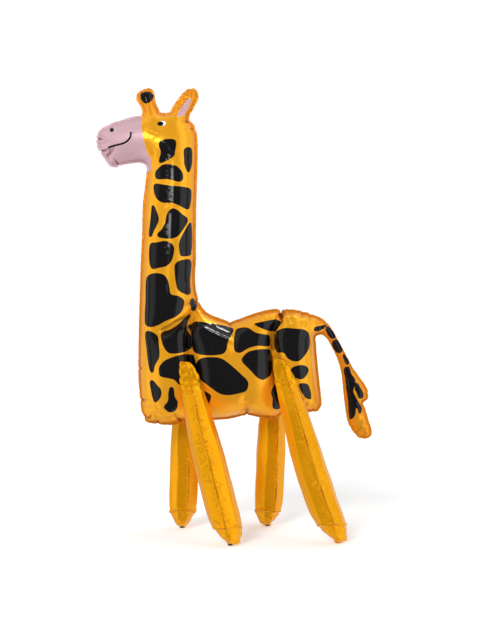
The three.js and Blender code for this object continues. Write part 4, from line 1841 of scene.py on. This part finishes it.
@dataclass
class Studio:
    """A lit floor, a room that mirrors in the film, four lamps and the photograph's camera.

    Attributes:
        plane: Where the camera stands.
        photo_rows: The photograph's height in pixels.
        row_height: What one pixel covers in the middle plane, in millimetres.
        sensor: The height of the camera's sensor, in millimetres.
        room: How bright the room is by the turn from the camera, in degrees to its right.
        key_from: The direction that the soft sun's light comes from.
        key_strength: The sun's strength, in watts per square metre.
        key_width: How wide it looks from the giraffe, in degrees.
        softboxes: The lamps that put bright streaks on the black patches and the cheek.
    """

    plane: PhotoPlane = field(default_factory=PhotoPlane)
    photo_rows: int = 625
    row_height: float = 2.237
    sensor: float = 36.0
    room: tuple[tuple[float, float], ...] = (
        (-180, 0.6), (-97, 0.5), (-93, 1.1), (-86, 1.1), (-81, 0.35), (-76, 0.35), (-70, 0.8),
        (-54, 0.8), (-42, 0.21), (40, 0.21), (46, 1.2), (72, 1.2), (77, 0.45), (86, 0.45),
        (92, 1.1), (98, 0.85), (180, 0.85),
    )
    key_from: tuple[float, float, float] = (-0.42, -1.0, 0.62)
    key_strength: float = 2.0
    key_width: float = 24.0
    softboxes: tuple[Softbox, ...] = (
        Softbox("neck_softbox", (-0.02, -2.3, 1.02), (-0.14, 0.0, 0.79), (0.45, 0.3), 12, 12),
        Softbox("overhead_softbox", (0.46, 0.17, 2.37), (-0.04, -0.05, 0.44), (0.4, 0.3), 34, 10),
        Softbox("cheek_softbox", (-0.78, -2.04, 1.61), (-0.175, -0.05, 0.893), (0.5, 0.3), 26, 16),
    )

    def build(self) -> None:
        """Make the floor, the room, the lamps and the camera."""
        self.floor()
        self.surroundings()
        self.sun()
        for softbox in self.softboxes:
            softbox.hang()
        self.camera()

    def floor(self) -> None:
        """Lay the floor."""
        bpy.ops.mesh.primitive_circle_add(vertices=96, radius=60.0, fill_type="NGON")
        floor = bpy.context.object
        floor.name = "pale_floor"
        floor.visible_glossy = False
        # the light from inside it keeps the sheet white up to its edges and the shadow faint
        acrylic = bpy.data.materials.new("white acrylic light table, lit from below")
        acrylic.use_nodes = True
        shader = acrylic.node_tree.nodes["Principled BSDF"]
        shader.inputs["Base Color"].default_value = linear("#FAFAFA")
        shader.inputs["Roughness"].default_value = 0.9
        shader.inputs["Emission Color"].default_value = (1, 1, 1, 1)
        shader.inputs["Emission Strength"].default_value = 0.25
        floor.data.materials.append(acrylic)

    def surroundings(self) -> None:
        """Light the room unevenly, as the film mirrors it, and show it as plain white."""
        world = bpy.data.worlds.new("studio")
        bpy.context.scene.world = world
        world.use_nodes = True
        tree = world.node_tree
        room = tree.nodes["Background"]
        way = add(tree, "ShaderNodeTexCoord")
        split = add(tree, "ShaderNodeSeparateXYZ", None, {0: way.outputs["Generated"]})
        front = add(tree, "ShaderNodeMath", {"operation": "MULTIPLY", 1: -1.0},
                    {0: split.outputs["Y"]})
        angle = add(tree, "ShaderNodeMath", {"operation": "ARCTAN2"},
                    {0: split.outputs["X"], 1: front.outputs[0]})
        turn = add(tree, "ShaderNodeMath",
                   {"operation": "MULTIPLY_ADD", 1: 0.5 / math.pi, 2: 0.5},
                   {0: angle.outputs[0]})
        ramp = add(tree, "ShaderNodeValToRGB", None, {0: turn.outputs[0]})
        stops = [(degrees / 360 + 0.5, level) for degrees, level in self.room]
        for place, level in stops[1:-1]:
            ramp.color_ramp.elements.new(place).color = (level, level, level, 1)
        for index, (place, level) in ((0, stops[0]), (-1, stops[-1])):
            ramp.color_ramp.elements[index].position = place
            ramp.color_ramp.elements[index].color = (level, level, level, 1)
        tree.links.new(ramp.outputs["Color"], room.inputs["Color"])
        seen = add(tree, "ShaderNodeBackground", {"Color": (1, 1, 1, 1), "Strength": 1.0})
        ray = add(tree, "ShaderNodeLightPath")
        mix = add(tree, "ShaderNodeMixShader", None,
                  {0: ray.outputs["Is Camera Ray"], 1: room.outputs[0], 2: seen.outputs[0]})
        tree.links.new(mix.outputs[0], tree.nodes["World Output"].inputs["Surface"])

    def sun(self) -> None:
        """Hang the soft sun, which the film doesn't mirror."""
        data = bpy.data.lights.new("key_light", "SUN")
        data.energy = self.key_strength
        data.angle = math.radians(self.key_width)
        lamp = bpy.data.objects.new("key_light", data)
        lamp.rotation_euler = (-Vector(self.key_from)).to_track_quat("-Z", "Y").to_euler()
        lamp.visible_glossy = False
        bpy.context.scene.collection.objects.link(lamp)

    def camera(self) -> None:
        """Stand the camera where the photograph was taken from."""
        data = bpy.data.cameras.new("photo_camera")
        data.sensor_width = self.sensor
        data.lens = self.sensor * self.plane.distance / (self.photo_rows * self.row_height)
        camera = bpy.data.objects.new("photo_camera", data)
        camera.location = Vector((self.plane.aim_x, -self.plane.distance, self.plane.aim_z)) * MM
        camera.rotation_euler = (math.pi / 2, 0, 0)
        bpy.context.scene.collection.objects.link(camera)
        bpy.context.scene.camera = camera
        bpy.context.scene.view_settings.view_transform = "Standard"


LEGS = (
    TubeLeg(
        "leg_front_near", Side.NEAR, 0.02,
        (Dent(0.45, -0.1, 12, 2.2, -0.1), Dent(0.66, 0.0, 14, 2.0, 0.1), Dent(0.56, -0.3, 8, 1.2),
         Dent(0.86, -0.6, 10, 1.6, 0.3)),
        21, left_shift=0.015, right_shift=-0.02, fold_share=0.905, tab_share=0.155,
    ),
    TubeLeg(
        "leg_front_far", Side.FAR, 0.35,
        (Dent(0.62, -0.2, 12, 1.8, 0.1), Dent(0.66, 0.0, 10, 1.6), Dent(0.3, 0.0, 30, 2.6, 0.1)),
        22, left_shift=0.0, right_shift=0.01, fold_share=0.9, tab_share=0.24,
    ),
    TubeLeg(
        "leg_rear_near", Side.NEAR, 0.2,
        (Dent(0.13, 0.0, 22, 1.6, -0.1), Dent(0.16, -0.3, 14, 1.4), Dent(0.44, 0.1, 16, 2.2, -0.1),
         Dent(0.66, 0.1, 8, 1.8, -0.3), Dent(0.86, -0.1, 8, 1.2)),
        23, bow=-7.0, left_shift=0.02, right_shift=-0.02, fold_share=0.9, tab_share=0.13,
        dark_tip=False,
    ),
    TubeLeg(
        "leg_rear_far", Side.FAR, 0.42,
        (Dent(0.3, -0.2, 26, 2.6), Dent(0.33, 0.2, 20, 2.0), Dent(0.63, 0.0, 10, 1.8, 0.1),
         Dent(0.72, 0.2, 6, 1.2)),
        24, left_shift=-0.02, right_shift=0.015, fold_share=0.91, tab_share=0.24,
    ),
)


def main() -> None:
    """Build the giraffe and its studio."""
    logging.basicConfig(level=logging.INFO, format="%(name)s: %(message)s")
    bpy.ops.object.select_all(action="DESELECT")
    body = Envelope().build()
    inks = (Ink.PINK, Ink.WHITE, Ink.BLACK, Ink.LINE)
    # ink printed on bright metal: the yellow glows as satin, the black shines as varnish
    body.data.materials.append(Foil("printed metallised nylon film", inks=inks).material())
    flank = BVHTree.FromObject(body, bpy.context.evaluated_depsgraph_get())
    # a thinner lacquer shows more of the metal; its heat seals are brown lines with painted shade in
    # their grooves, and the fold above each foot has the same brown line as painted shade
    leg_look = {
        "yellow": "#FFAE0A", "rim": "#985606", "metallic": 0.66, "roughness": 0.27, "gloss": 0.2,
        "sealed": True, "crinkle_height": 2.4, "crinkle_scale": 200.0,
    }
    marked = Foil("metallised nylon film with a dark tip", inks=(Ink.BLACK,), **leg_look).material()
    plain = Foil("plain metallised nylon film", **leg_look).material()
    for leg in LEGS:
        piece = leg.build(flank)
        piece.data.materials.append(marked if leg.dark_tip else plain)
        log.info("%s: %d faces", piece.name, len(piece.data.polygons))
    Studio().build()


if __name__ == "__main__":
    main()
